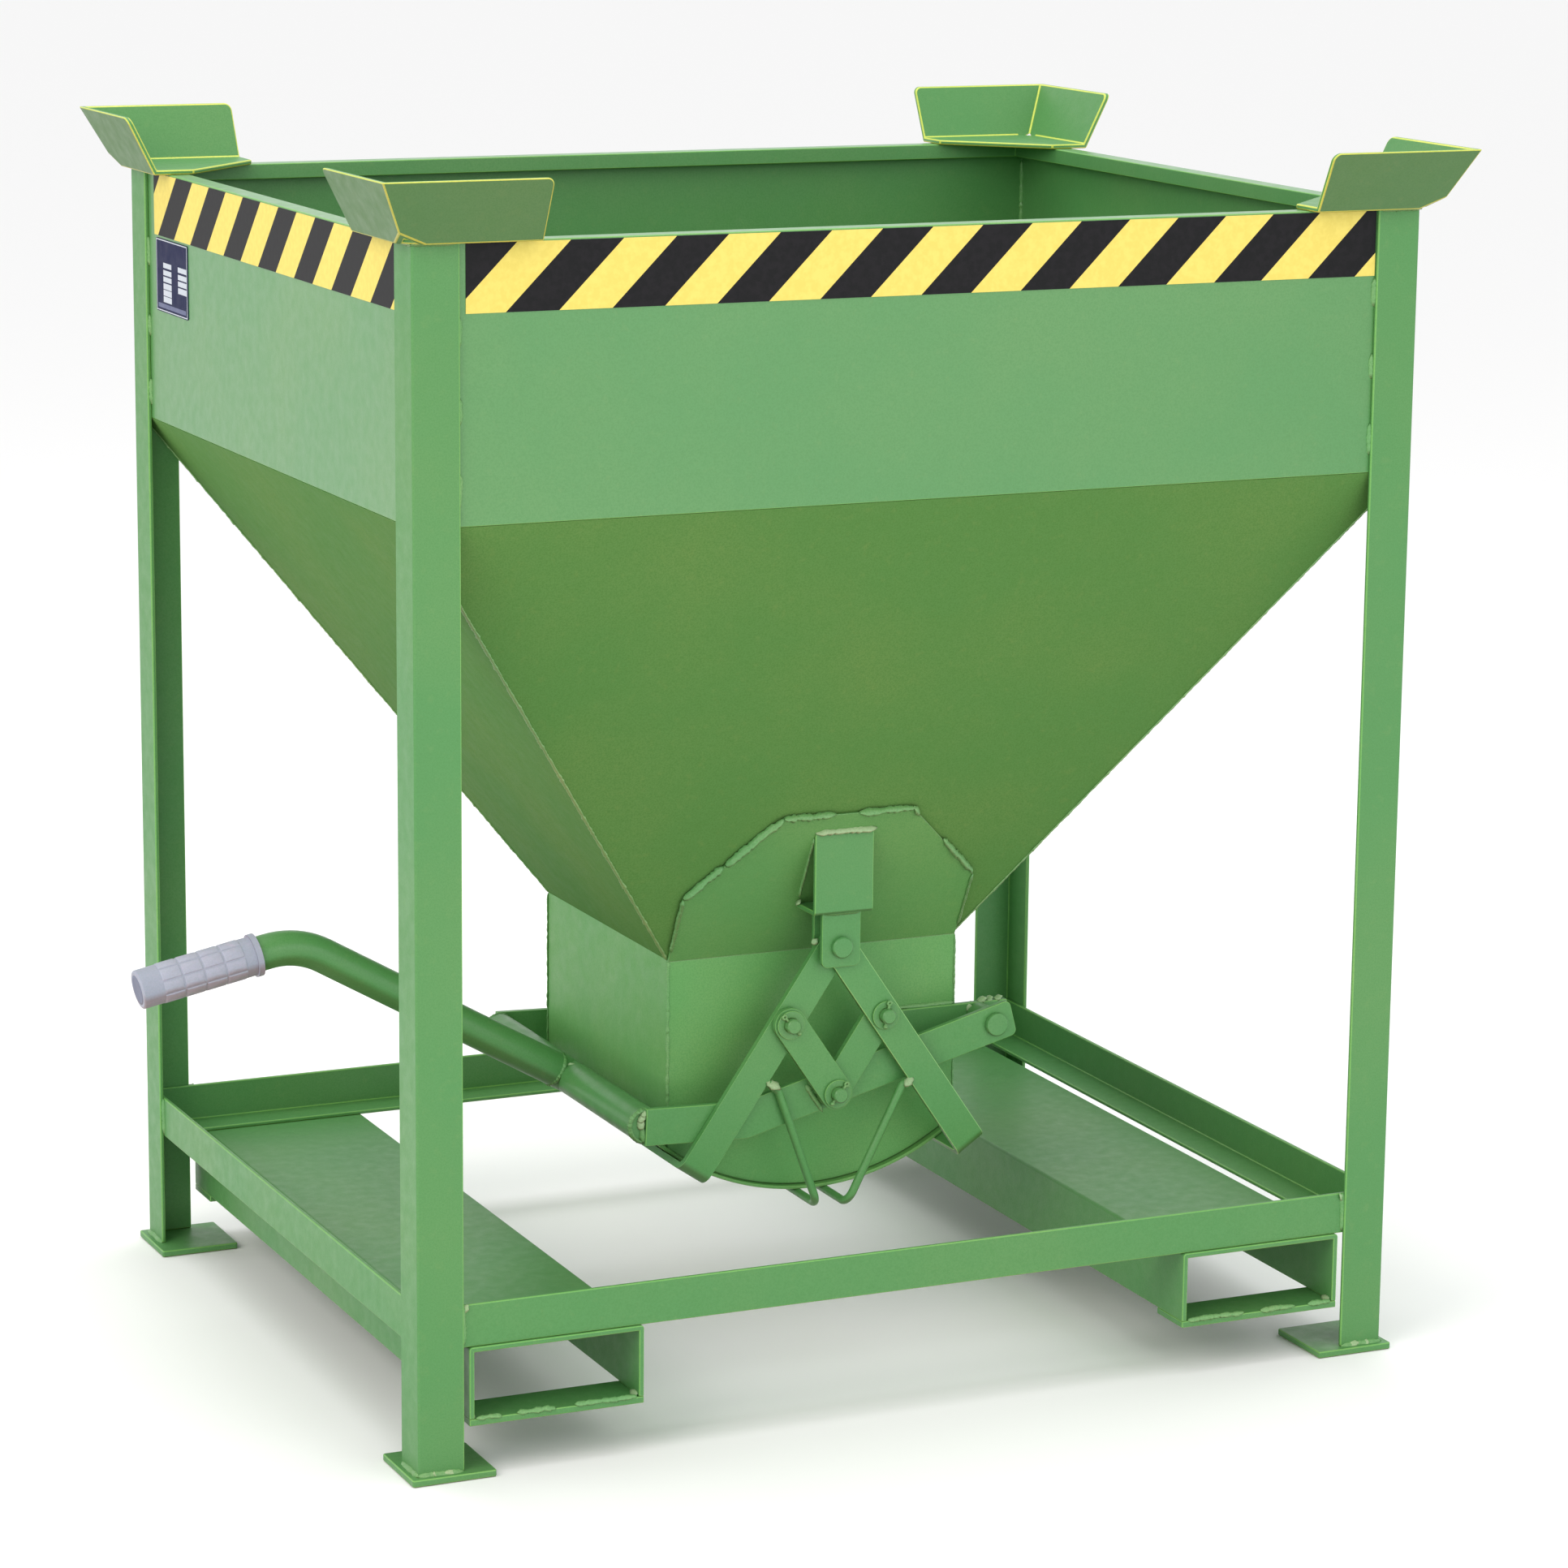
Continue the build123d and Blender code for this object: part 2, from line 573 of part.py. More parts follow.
# --- shells, straps and rods of the two jaws ---------------------------------------------
flat_half = FLAT_WIDTH / 2
for hand_index, (name, sx) in enumerate(SIDES):
    layer = INNER_LAYER if sx < 0 else OUTER_LAYER
    arm_x = sx * sin(radians(ARM_ANGLE))
    arm_z = -cos(radians(ARM_ANGLE))

    with BuildPart() as shell:
        with BuildSketch(Plane.XZ):
            with BuildLine():
                reach_x = sin(radians(SHELL_REACH))
                reach_z = cos(radians(SHELL_REACH))
                middle = radians(SHELL_REACH / 2)
                ends = []
                for radius in (SHELL_INNER, SHELL_INNER + SHELL_WALL):
                    near = (sx * SHELL_GAP, PIVOT_Z - sqrt(radius**2 - SHELL_GAP**2))
                    halfway = (sx * radius * sin(middle), PIVOT_Z - radius * cos(middle))
                    far = (sx * radius * reach_x, PIVOT_Z - radius * reach_z)
                    ThreePointArc(near, halfway, far)
                    ends.append((near, far))
                Line(ends[0][0], ends[1][0])
                Line(ends[0][1], ends[1][1])
            make_face()
        extrude(amount=SHELL_HALF_Y, both=True)
    keep(shell, f"{name}_shell")

    # U-shaped strap: an arm in front, a run below the shell and an arm behind
    strap_plane = Plane(origin=(0, 0, PIVOT_Z), x_dir=(0, 1, 0), z_dir=(-arm_z, 0, arm_x))
    with BuildPart() as strap:
        with BuildSketch(strap_plane):
            with BuildLine():
                outer_y = layer + FLAT_THICK
                low = STRAP_FACE + FLAT_THICK
                Polyline(
                    (-outer_y, 0), (-outer_y, -low), (outer_y, -low), (outer_y, 0),
                    (layer, 0), (layer, -STRAP_FACE), (-layer, -STRAP_FACE), (-layer, 0),
                    close=True,
                )
            make_face()
            for offset_y, drop, radius in (
                (outer_y, low, STRAP_BEND),
                (layer, STRAP_FACE, STRAP_BEND - FLAT_THICK),
            ):
                for hand in (-1, 1):
                    spot = (hand * offset_y, -drop, 0)
                    fillet(vertices().sort_by_distance(spot)[0], radius=radius)
        extrude(amount=flat_half, both=True)
        for side in (-1, 1):
            with BuildSketch(facing(side, layer)):
                with Locations((0, PIVOT_Z)):
                    Circle(flat_half)
            extrude(amount=-side * FLAT_THICK)
        with BuildSketch(Plane.XZ):
            with Locations((0, PIVOT_Z)):
                Circle(PIVOT_PIN + RUNNING_GAP)
            with Locations((PIN_SPACING * arm_x, ARM_PIN_Z)):
                Circle(LINK_PIN + RUNNING_GAP)
        extrude(amount=outer_y + 1, both=True, mode=Mode.SUBTRACT)
    keep(strap, f"{name}_strap")

    # bent round rod from arm to arm below the shell
    rod_y = INNER_LAYER + ROD_RADIUS + 0.2 if sx < 0 else OUTER_LAYER + FLAT_THICK / 2
    rod_reach = SHELL_INNER + SHELL_WALL + ROD_RADIUS + 0.05
    turn_x = sx * ROD_TURN_X[hand_index]
    rod_low = PIVOT_Z - sqrt(rod_reach**2 - turn_x**2)
    beside_arm = flat_half + 0.7
    weld_x = ROD_WELD[hand_index] * arm_x + sx * beside_arm * arm_z
    weld_z = PIVOT_Z + ROD_WELD[hand_index] * arm_z - beside_arm * abs(arm_x)
    with BuildPart() as rod:
        with BuildLine() as rod_path:
            elbow_x, elbow_z = ROD_ELBOW[hand_index]
            FilletPolyline(
                (weld_x, -rod_y, weld_z),
                (sx * elbow_x, -rod_y, elbow_z),
                (turn_x, -rod_y, rod_low),
                (turn_x, rod_y, rod_low),
                (sx * elbow_x, rod_y, elbow_z),
                (weld_x, rod_y, weld_z),
                radius=[ROD_TOP_BEND, ROD_BEND, ROD_BEND, ROD_TOP_BEND],
            )
        start_plane = Plane(
            origin=rod_path.line @ 0, z_dir=rod_path.line % 0
        )
        with BuildSketch(start_plane):
            Circle(ROD_RADIUS)
        sweep()
    keep(rod, f"{name}_rod")

# --- links, with their pins ---------------------------------------------------------------
for name, sx, layer in (("left_links", -1, OUTER_LAYER), ("right_links", 1, INNER_LAYER)):
    link_turn = degrees(radians(90 - ARM_ANGLE)) * sx
    with BuildPart() as links:
        with BuildSketch(facing(-1, layer)):
            with Locations(Location((sx * ARM_PIN_X / 2, (ARM_PIN_Z + BOTTOM_PIN_Z) / 2), link_turn)):
                SlotCenterToCenter(PIN_SPACING, FLAT_WIDTH)
            with Locations((sx * ARM_PIN_X, ARM_PIN_Z), (0, BOTTOM_PIN_Z)):
                Circle(LINK_PIN + RUNNING_GAP, mode=Mode.SUBTRACT)
        extrude(amount=FLAT_THICK)
        mirror(about=Plane.XZ)
    keep(links, name)

washer_start = OUTER_LAYER + FLAT_THICK + 0.3
for name, pin_x, lean in (
    ("left_link_pins", -ARM_PIN_X, LEFT_PIN_LEAN), ("right_link_pins", ARM_PIN_X, RIGHT_PIN_LEAN)
):
    with BuildPart() as link_pins:
        round_pin(pin_x, ARM_PIN_Z, LINK_PIN, INNER_LAYER, PIN_END)
        chamfer(link_pins.faces().sort_by(Axis.Y)[0].edges(), length=1.5)
        split_hole(pin_x, ARM_PIN_Z, split_front, lean)
        mirror(about=Plane.XZ)
    keep(link_pins, name)

with BuildPart() as bottom_pins:
    head_back = LEVER_LAYER - SIDE_GAP - BRACKET_WALL
    round_pin(0, BOTTOM_PIN_Z, WASHER_RADIUS, head_back, LEVER_LAYER - SIDE_GAP)
    round_pin(0, BOTTOM_PIN_Z, LINK_PIN, LEVER_LAYER - SIDE_GAP, PIN_END)
    chamfer(bottom_pins.faces().sort_by(Axis.Y)[0].edges(), length=1.5)
    split_hole(0, BOTTOM_PIN_Z, split_front, BOTTOM_PIN_LEAN)
    mirror(about=Plane.XZ)
keep(bottom_pins, "bottom_link_pins")

for name, places in (
    ("left_pin", ((-ARM_PIN_X, ARM_PIN_Z, LEFT_PIN_LEAN),)),
    ("right_pin", ((ARM_PIN_X, ARM_PIN_Z, RIGHT_PIN_LEAN), (0, BOTTOM_PIN_Z, BOTTOM_PIN_LEAN))),
):
    with BuildPart() as washers:
        for spot_x, spot_z, lean in places:
            washer(spot_x, spot_z, washer_start, WASHER_RADIUS, LINK_PIN)
        mirror(about=Plane.XZ)
    keep(washers, f"{name}_washers")

    with BuildPart() as split_pins:
        for spot_x, spot_z, lean in places:
            split_pin(spot_x, spot_z, split_front, lean)
        mirror(about=Plane.XZ)
    keep(split_pins, f"{name}_split_pins")

# --- lever: two flat bars, a cross tube between them, a bent handle tube and a grip -------
slope = radians(LEVER_SLOPE)
level = atan2(LEVER_BEND[1] - CROSS_Z, -LEVER_BEND[0] - CROSS_X)
mitre = (slope + level) / 2
lever_half = LEVER_WIDTH / 2
mitre_half = lever_half / cos((slope - level) / 2)


def across(x, z, angle, half):
    """Points below and above a spot on the middle line of the bar."""
    shift_x = half * sin(angle)
    shift_z = half * cos(angle)
    return (x + shift_x, z - shift_z), (x - shift_x, z + shift_z)


tip_x = LEVER_X + LEVER_TIP * cos(slope)
tip_z = LEVER_Z + LEVER_TIP * sin(slope)
end_low, end_high = across(CROSS_X - CROSS_LAP, CROSS_Z, level, lever_half)
bend_low, bend_high = across(-LEVER_BEND[0], LEVER_BEND[1], mitre, mitre_half)
tip_low, tip_high = across(tip_x, tip_z, slope, lever_half)
for name, side in FACES:
    with BuildPart() as lever_bar:
        with BuildSketch(facing(side, LEVER_LAYER)):
            with BuildLine():
                Polyline(end_low, bend_low, tip_low, tip_high, bend_high, end_high, close=True)
            make_face()
            fillet(vertices().sort_by(Axis.X)[-2:], radius=LEVER_TIP_RADIUS)
            with Locations(Location((0, BOTTOM_PIN_Z), LEVER_SLOPE)):
                SlotOverall(2 * SLOT_HALF_LENGTH, 2 * SLOT_RADIUS, mode=Mode.SUBTRACT)
            with Locations((LEVER_X, LEVER_Z)):
                Circle(PIVOT_PIN + RUNNING_GAP, mode=Mode.SUBTRACT)
        extrude(amount=-side * FLAT_THICK)
    keep(lever_bar, f"lever_bar_{name}")

with BuildPart() as cross_tube:
    with BuildSketch(Plane.XZ):
        with Locations((CROSS_X, CROSS_Z)):
            Circle(TUBE_RADIUS)
            Circle(TUBE_RADIUS - TUBE_WALL, mode=Mode.SUBTRACT)
    extrude(amount=LEVER_LAYER, both=True)
    # both ends are closed with a disc, welded in flush
    for side in (-1, 1):
        with BuildSketch(Plane.XZ.offset(side * (LEVER_LAYER - TUBE_WALL / 2))) as disc:
            with Locations((CROSS_X, CROSS_Z)):
                Circle(TUBE_RADIUS)
        extrude(disc.sketch, amount=TUBE_WALL / 2, both=True)
keep(cross_tube, "cross_tube")

with BuildPart() as handle_tube:
    with BuildLine() as handle_path:
        FilletPolyline(
            (CROSS_X, 0, CROSS_Z),
            (HANDLE_TOP[0], 0, HANDLE_TOP[1]),
            (HANDLE_END[0], 0, HANDLE_END[1]),
            radius=HANDLE_BEND,
        )
    with BuildSketch(Plane(origin=handle_path.line @ 0, z_dir=handle_path.line % 0)):
        Circle(TUBE_RADIUS - 0.05)
        Circle(TUBE_RADIUS - TUBE_WALL, mode=Mode.SUBTRACT)
    sweep()
    # saddle cut where the tube is welded to the cross tube
    with BuildSketch(Plane.XZ):
        with Locations((CROSS_X, CROSS_Z)):
            Circle(TUBE_RADIUS + 0.05)
    extrude(amount=2 * TUBE_RADIUS, both=True, mode=Mode.SUBTRACT)
keep(handle_tube, "handle_tube")

grip_direction = Vector(HANDLE_END[0] - HANDLE_TOP[0], 0, HANDLE_END[1] - HANDLE_TOP[1]).normalized()
grip_plane = Plane(
    origin=(HANDLE_END[0], 0, HANDLE_END[1]), x_dir=grip_direction, z_dir=(0, 1, 0)
)
with BuildPart() as grip:
    with BuildSketch(grip_plane):
        with BuildLine():
            bore = TUBE_RADIUS + GRIP_BORE_GAP
            inner_end = -GRIP_LENGTH + GRIP_END_WALL
            Polyline(
                (0.3, 0), (0.3, bore), (inner_end, bore), (inner_end, GRIP_COLLAR),
                (inner_end + GRIP_COLLAR_LENGTH, GRIP_COLLAR),
                (inner_end + GRIP_COLLAR_LENGTH, GRIP_RADIUS),
                (GRIP_END_WALL, GRIP_RADIUS), (GRIP_END_WALL, 0), close=True,
            )
        make_face()
    revolve(axis=Axis((HANDLE_END[0], 0, HANDLE_END[1]), tuple(grip_direction)))
    fillet(grip.edges().filter_by(GeomType.CIRCLE).sort_by(Axis.X)[0], radius=2.5)
keep(grip, "handle_grip")
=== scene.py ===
from math import cos, pi, radians, sin

import bmesh
import bpy
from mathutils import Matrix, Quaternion, Vector, noise


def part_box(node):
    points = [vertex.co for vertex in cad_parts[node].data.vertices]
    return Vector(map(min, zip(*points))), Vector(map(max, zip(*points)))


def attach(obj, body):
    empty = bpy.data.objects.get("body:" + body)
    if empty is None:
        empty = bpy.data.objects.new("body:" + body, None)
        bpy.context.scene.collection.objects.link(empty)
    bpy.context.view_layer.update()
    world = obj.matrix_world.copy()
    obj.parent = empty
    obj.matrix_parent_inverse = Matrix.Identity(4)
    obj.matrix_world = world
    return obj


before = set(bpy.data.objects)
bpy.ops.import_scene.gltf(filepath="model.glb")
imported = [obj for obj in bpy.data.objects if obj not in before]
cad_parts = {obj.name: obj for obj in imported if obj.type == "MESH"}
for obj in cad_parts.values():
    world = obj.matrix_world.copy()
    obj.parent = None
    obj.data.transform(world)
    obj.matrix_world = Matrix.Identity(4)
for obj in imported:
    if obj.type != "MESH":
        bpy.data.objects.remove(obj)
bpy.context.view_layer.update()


# FEET. Four square plates of 8 mm steel that the container stands on and stacks by.
# Each is cut from flat bar and fillet-welded round the bottom of its corner post, then
# sprayed with the same satin green enamel as the rest of the frame.

POST_X, POST_Y = 0.620, 0.500   # outer faces of the posts, from the middle
PROUD = 0.0005                  # root of a weld bead above the plate it is laid on
FOOT_TOP = 0.008


def enamel(
    name, colour, rough=0.46, cloud=0.10, grain=0.10, peel=0.10,
    underside_shade=1.0, gloss=0.10, shine=0.42,
):
    """Sprayed satin enamel: clouds, mottling, dust, orange peel and painted shade underneath."""
    paint = bpy.data.materials.new(name)
    paint.use_nodes = True
    tree = paint.node_tree
    shader = tree.nodes["Principled BSDF"]
    shader.inputs["IOR"].default_value = 1.48
    shader.inputs["Coat Weight"].default_value = gloss
    shader.inputs["Specular IOR Level"].default_value = shine
    shader.inputs["Coat Roughness"].default_value = 0.30
    place = tree.nodes.new("ShaderNodeTexCoord")

    def spread(value, from_min, from_max, to_min, to_max):
        span = tree.nodes.new("ShaderNodeMapRange")
        span.inputs["From Min"].default_value = from_min
        span.inputs["From Max"].default_value = from_max
        span.inputs["To Min"].default_value = to_min
        span.inputs["To Max"].default_value = to_max
        tree.links.new(value, span.inputs["Value"])
        return span.outputs["Result"]

    def speckle(scale, detail, *span):
        """Noise of a scale and detail, with the part of it that counts and what it becomes."""
        spots = tree.nodes.new("ShaderNodeTexNoise")
        spots.inputs["Scale"].default_value = scale
        spots.inputs["Detail"].default_value = detail
        tree.links.new(place.outputs["Object"], spots.inputs["Vector"])
        return spread(spots.outputs["Fac"], *span)

    def mix(kind, how_much, a, b):
        blend = tree.nodes.new("ShaderNodeMix")
        blend.data_type = "RGBA"
        blend.blend_type = kind
        for socket, value in ((0, how_much), (6, a), (7, b)):
            if isinstance(value, bpy.types.NodeSocket):
                tree.links.new(value, blend.inputs[socket])
            else:
                blend.inputs[socket].default_value = value
        return blend.outputs[2]

    full = (*colour, 1.0)
    pale = (min(1, colour[0] * 1.5 + 0.03), min(1, colour[1] * 1.12), colour[2] * 1.2, 1.0)
    deep = (colour[0] * 0.80, colour[1] * 0.86, colour[2] * 0.74, 1.0)
    # Faces that point down are multiplied by this dull tint: painted shade under things.
    underside_shade_tint = (0.80, 0.62, 0.56, 1.0)
    clouds = mix("MIX", speckle(5.0, 4.0, 0.38, 0.68, 0.0, cloud * 3.0), full, pale)
    fine = mix("MIX", speckle(520.0, 2.0, 0.40, 0.66, 0.0, grain * 5.0), clouds, deep)
    dusty = mix("MIX", speckle(95.0, 5.0, 0.58, 0.80, 0.0, 0.30), fine, pale)
    facing = tree.nodes.new("ShaderNodeSeparateXYZ")
    tree.links.new(place.outputs["Normal"], facing.inputs["Vector"])
    below = spread(facing.outputs["Z"], -0.12, -0.42, 0.0, underside_shade)
    tree.links.new(mix("MULTIPLY", below, dusty, underside_shade_tint), shader.inputs["Base Color"])
    satin = speckle(60.0, 4.0, 0.3, 0.7, rough - 0.07, rough + 0.09)
    tree.links.new(satin, shader.inputs["Roughness"])
    skin = tree.nodes.new("ShaderNodeBump")
    skin.inputs["Strength"].default_value = peel
    skin.inputs["Distance"].default_value = 0.0012
    tree.links.new(speckle(330.0, 3.0, 0.2, 0.8, 0.0, 1.0), skin.inputs["Height"])
    tree.links.new(skin.outputs["Normal"], shader.inputs["Normal"])
    return paint


def dress(paint, *names, edge=0.0012, rim=None, crease=40):
    """Paints CAD pieces and breaks their sharp edges, with a painted highlight where rim is given.
    """
    for name in names:
        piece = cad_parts[name]
        for socket in piece.material_slots:
            socket.material = paint
        if not edge:
            continue
        join = piece.modifiers.new("joined corners", "WELD")
        join.merge_threshold = 0.00002
        flat = piece.modifiers.new("whole flats", "DECIMATE")
        flat.decimate_type = "DISSOLVE"
        flat.angle_limit = radians(0.4)
        broken = piece.modifiers.new("broken edges", "BEVEL")
        broken.width = edge
        broken.segments = 2
        broken.limit_method = "ANGLE"
        broken.angle_limit = radians(crease)
        if rim:
            piece.data.materials.append(rim)
            broken.material = 1
        shading = piece.modifiers.new("flats shaded flat", "WEIGHTED_NORMAL")
        shading.weight = 80
        shading.keep_sharp = False


def made(name, bm, paint, body, smooth=True):
    """Turns a built shape into a painted piece that rides on a body of the container."""
    bmesh.ops.recalc_face_normals(bm, faces=bm.faces)
    shape = bpy.data.meshes.new(name)
    bm.to_mesh(shape)
    bm.free()
    if smooth:
        shape.shade_smooth()
    piece = bpy.data.objects.new(name, shape)
    bpy.context.scene.collection.objects.link(piece)
    shape.materials.append(paint)
    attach(piece, body)


def weld(name, body, runs, half=0.003, swell=0.35, paint=None, joined=False):
    """Laid weld beads: overlapping crescents along each run, (start, end, facing), in metres.
    Runs that follow on from each other are joined, and don't thin out at their ends."""
    pitch, crown, bow, wander = 0.75, 0.62, 0.7, 0.35   # in half widths of the bead
    coarse, fine = 70, 210      # scales of the noise that bends a bead and lumps it
    bm = bmesh.new()
    arc = [radians(v) for v in (-25, 10, 45, 90, 135, 170, 205)]
    for start, end, facing in runs:
        start, end, out = Vector(start), Vector(end), Vector(facing).normalized()
        along = (end - start).normalized()
        side = along.cross(out).normalized()
        out = side.cross(along)
        crescents = max(5, int((end - start).length / (half * pitch)))
        before = None
        for i in range(crescents + 1):
            here = start.lerp(end, i / crescents)
            lump = 1 + swell * noise.noise(here * fine) + (0.17 if i % 2 else -0.05)
            thinned = 1.0 if joined else min(1.0, 0.45 + 0.3 * min(i, crescents - i))
            fat = half * lump * thinned
            aside = noise.noise(here * coarse + Vector((3, 7, 1)))
            middle = here + side * (half * wander * aside)
            ring = []
            for v in arc:
                rim = middle + (out * (crown * sin(v)) + side * cos(v)) * fat
                ring.append(bm.verts.new(rim + along * (half * bow * sin(v))))
            if before:
                for k in range(len(arc) - 1):
                    bm.faces.new((before[k], before[k + 1], ring[k + 1], ring[k]))
                bm.faces.new((before[-1], before[0], ring[0], ring[-1]))
            else:
                bm.faces.new(ring)
            before = ring
        bm.faces.new(before[::-1])
    made(name, bm, paint or weld_paint, body)


corners = [(sx, sy) for sx in (-1, 1) for sy in (-1, 1)]
corner_names = [
    f"{'rear' if sy > 0 else 'front'}_{'right' if sx > 0 else 'left'}" for sx, sy in corners
]


def at_corners(*runs):
    """Weld runs laid out for the rear right corner, laid at all four."""
    return [[(sx * x, sy * y, z) for x, y, z in run] for sx, sy in corners for run in runs]


def front_and_rear(*runs):
    """Weld runs laid out for the rear, laid at the front too."""
    return [[(x, sy * y, z) for x, y, z in run] for sy in (-1, 1) for run in runs]


def round_post(height, up):
    """Runs along the two outer faces of each post, facing up or down."""
    from_toe, to_corner = 0.053, 0.001
    x, y = POST_X + PROUD, POST_Y + PROUD
    return at_corners(
        ((POST_X - from_toe, y, height), (POST_X - to_corner, y, height), (0, 1, up)),
        ((x, POST_Y - from_toe, height), (x, POST_Y - to_corner, height), (1, 0, up)),
    )


frame_green = enamel("frame_enamel", (0.078, 0.255, 0.074))
# The paler, yellower green that dress lays on bevelled edges is a painted highlight.
edge_highlight_green = enamel("enamel_painted_highlight_on_edges", (0.145, 0.385, 0.095), rough=0.38, cloud=0.12)
weld_paint = enamel(
    "enamel_over_weld", (0.125, 0.330, 0.112), rough=0.36, cloud=0.25, grain=0.16
)
# The pale green for weld lumps and blobs, laid on their tops, is a painted highlight.
weld_lump_highlight = enamel(
    "enamel_painted_highlight_on_weld_lumps", (0.270, 0.440, 0.225), rough=0.42, cloud=0.25, grain=0.12
)
dress(frame_green, *[f"foot_{c}" for c in corner_names], edge=0.0014, rim=edge_highlight_green)
weld("foot_welds", "container", round_post(FOOT_TOP + PROUD, 1), half=0.0042)
# Pale blobs at the front of the foot welds: painted highlights on the lumps.
weld(
    "foot_weld_painted_highlights", "container",
    at_corners(*[
        ((a, 0.5012, 0.0092), (b, 0.5012, 0.0092), (0, 1, 1))
        for a, b in ((0.574, 0.590), (0.597, 0.602))
    ]),
    half=0.0037, swell=0.6, paint=weld_lump_highlight,
)


# CORNER POSTS. Four 55 mm angles of 5 mm hot-rolled steel from foot to cup, toes inward.
# They carry the whole load of a stack. The hopper box is stitched into them along both toes.

POST_LEG, POST_WALL = 0.055, 0.005
toe_x, toe_y = POST_X - POST_LEG - PROUD, POST_Y - POST_LEG - PROUD
sheet_x, sheet_y = POST_X - POST_WALL + PROUD, POST_Y - POST_WALL + PROUD


def along_toes(front, side):
    """Upright runs beside the toes of each post, as (bottom, length), on its two legs."""
    return at_corners(*[
        ((toe_x, sheet_y, z), (toe_x, sheet_y, z + length), (-0.4, 1, 0)) for z, length in front
    ]) + at_corners(*[
        ((sheet_x, toe_y, z), (sheet_x, toe_y, z + length), (1, -0.4, 0)) for z, length in side
    ])


dress(frame_green, *[f"post_{c}" for c in corner_names], edge=0.0016, rim=edge_highlight_green)
weld(
    "post_to_box_tacks", "container",
    along_toes(
        front=((1.095, 0.034), (1.184, 0.026), (1.268, 0.030)),
        side=((1.090, 0.030), (1.176, 0.024), (1.262, 0.034)),
    ),
    half=0.0036,
)


# LOWER RAILS. Four 50 mm angles that tie the posts together 150 mm above the floor. Their
# ends are welded inside the post legs, and the front and rear ones sit on the pockets.

rail_end = (0.153, 0.045)
dress(
    frame_green, "rail_front", "rail_rear", "rail_left", "rail_right",
    edge=0.0014, rim=edge_highlight_green,
)
weld("rail_end_welds", "container", along_toes(front=[rail_end], side=[rail_end]), half=0.0034)
weld(
    "rail_end_blobs", "container",
    at_corners(((0.5640, 0.4960, 0.1930), (0.5600, 0.4960, 0.1985), (0, 1, 1))),
    half=0.0036, swell=0.6, paint=weld_lump_highlight,
)


# FORK POCKETS. Two folded channels that run front to rear, so that a fork-lift truck can
# lift the full container, with flat straps across underneath so that it can't tip off.

strap_edge_y, strap_seam_z = 0.4972, 0.0668
dress(
    frame_green, "fork_pocket_left", "fork_pocket_right", "fork_pocket_straps",
    edge=0.0012, rim=edge_highlight_green,
)
weld(
    "pocket_strap_welds", "container",
    at_corners(*[
        ((a, strap_edge_y, strap_seam_z), (b, strap_edge_y, strap_seam_z), (0, 1, 1))
        for a, b in ((0.356, 0.430), (0.455, 0.500), (0.520, 0.549))
    ]),
    half=0.0030, swell=0.6,
)
weld(
    "pocket_inside_blobs", "container",
    at_corners(
        ((0.3545, 0.4925, 0.0675), (0.3545, 0.4800, 0.0675), (1, 0, 1)),
        ((0.5505, 0.4925, 0.0675), (0.5505, 0.4800, 0.0675), (-1, 0, 1)),
    ),
    half=0.0038, swell=0.6, paint=weld_lump_highlight,
)


# HOPPER. A box of 4 mm sheet with a folded rim, over a four-sided funnel of the same sheet.
# The box is folded from two lengths and the funnel from four panels, seam-welded at the
# corners. The funnel's paint is duller, sprayed from underneath, and darkened as painted shade.

funnel_green = enamel(
    "enamel_under_hopper", (0.114, 0.345, 0.096),
    rough=0.78, cloud=0.12, grain=0.14, gloss=0.0, shine=0.12,
)
box_green = enamel("enamel_on_box", (0.080, 0.258, 0.077), rough=0.40, gloss=0.45, shine=0.50)
seam_paint = enamel("enamel_on_seams", (0.190, 0.400, 0.150), rough=0.36, cloud=0.25)
dress(box_green, "hopper_box", edge=0.0016, rim=edge_highlight_green)
dress(funnel_green, "hopper_funnel", edge=0.0)
seam_top, seam_foot = Vector((0.6135, 0.4938, 1.071)), Vector((0.1895, 0.1875, 0.489))
seam_facing = (1, 1, -0.55)
droplet_length = 0.011          # as a share of the seam, like the places of the droplets
weld(
    "funnel_corner_seams", "container",
    at_corners((seam_top, seam_foot, seam_facing)),
    half=0.0019, swell=0.5, paint=seam_paint,
)
weld(
    "funnel_seam_droplets", "container",
    at_corners(*[
        (seam_top.lerp(seam_foot, t), seam_top.lerp(seam_foot, t + droplet_length), seam_facing)
        for t in (0.06, 0.13, 0.22, 0.29, 0.38, 0.47, 0.55, 0.64, 0.73, 0.81, 0.90)
    ]),
    half=0.0027, paint=seam_paint,
)
weld(
    "box_corner_seams", "container",
    at_corners(((0.6100, 0.4900, 1.085), (0.6100, 0.4900, 1.352), (-1, -1, 0))),
    half=0.0026, swell=0.7,
)


# SPOUT. A square throat of 5 mm plate under the funnel, with a bearing plate on its front
# and rear that laps up on to the funnel as half an octagon, stitch-welded round its edge.

PLATE_FOLD_Y, PLATE_FOLD_Z, PLATE_LEAN = 0.19265, 0.488, 0.5265
PLATE_HALF, PLATE_SHOULDER, PLATE_TOP = 0.189, 0.573, 0.671

spout_green = enamel(
    "enamel_on_spout", (0.105, 0.330, 0.088), rough=0.50, cloud=0.16, grain=0.12, underside_shade=0.55
)
dress(spout_green, "spout_side_walls", edge=0.0008)
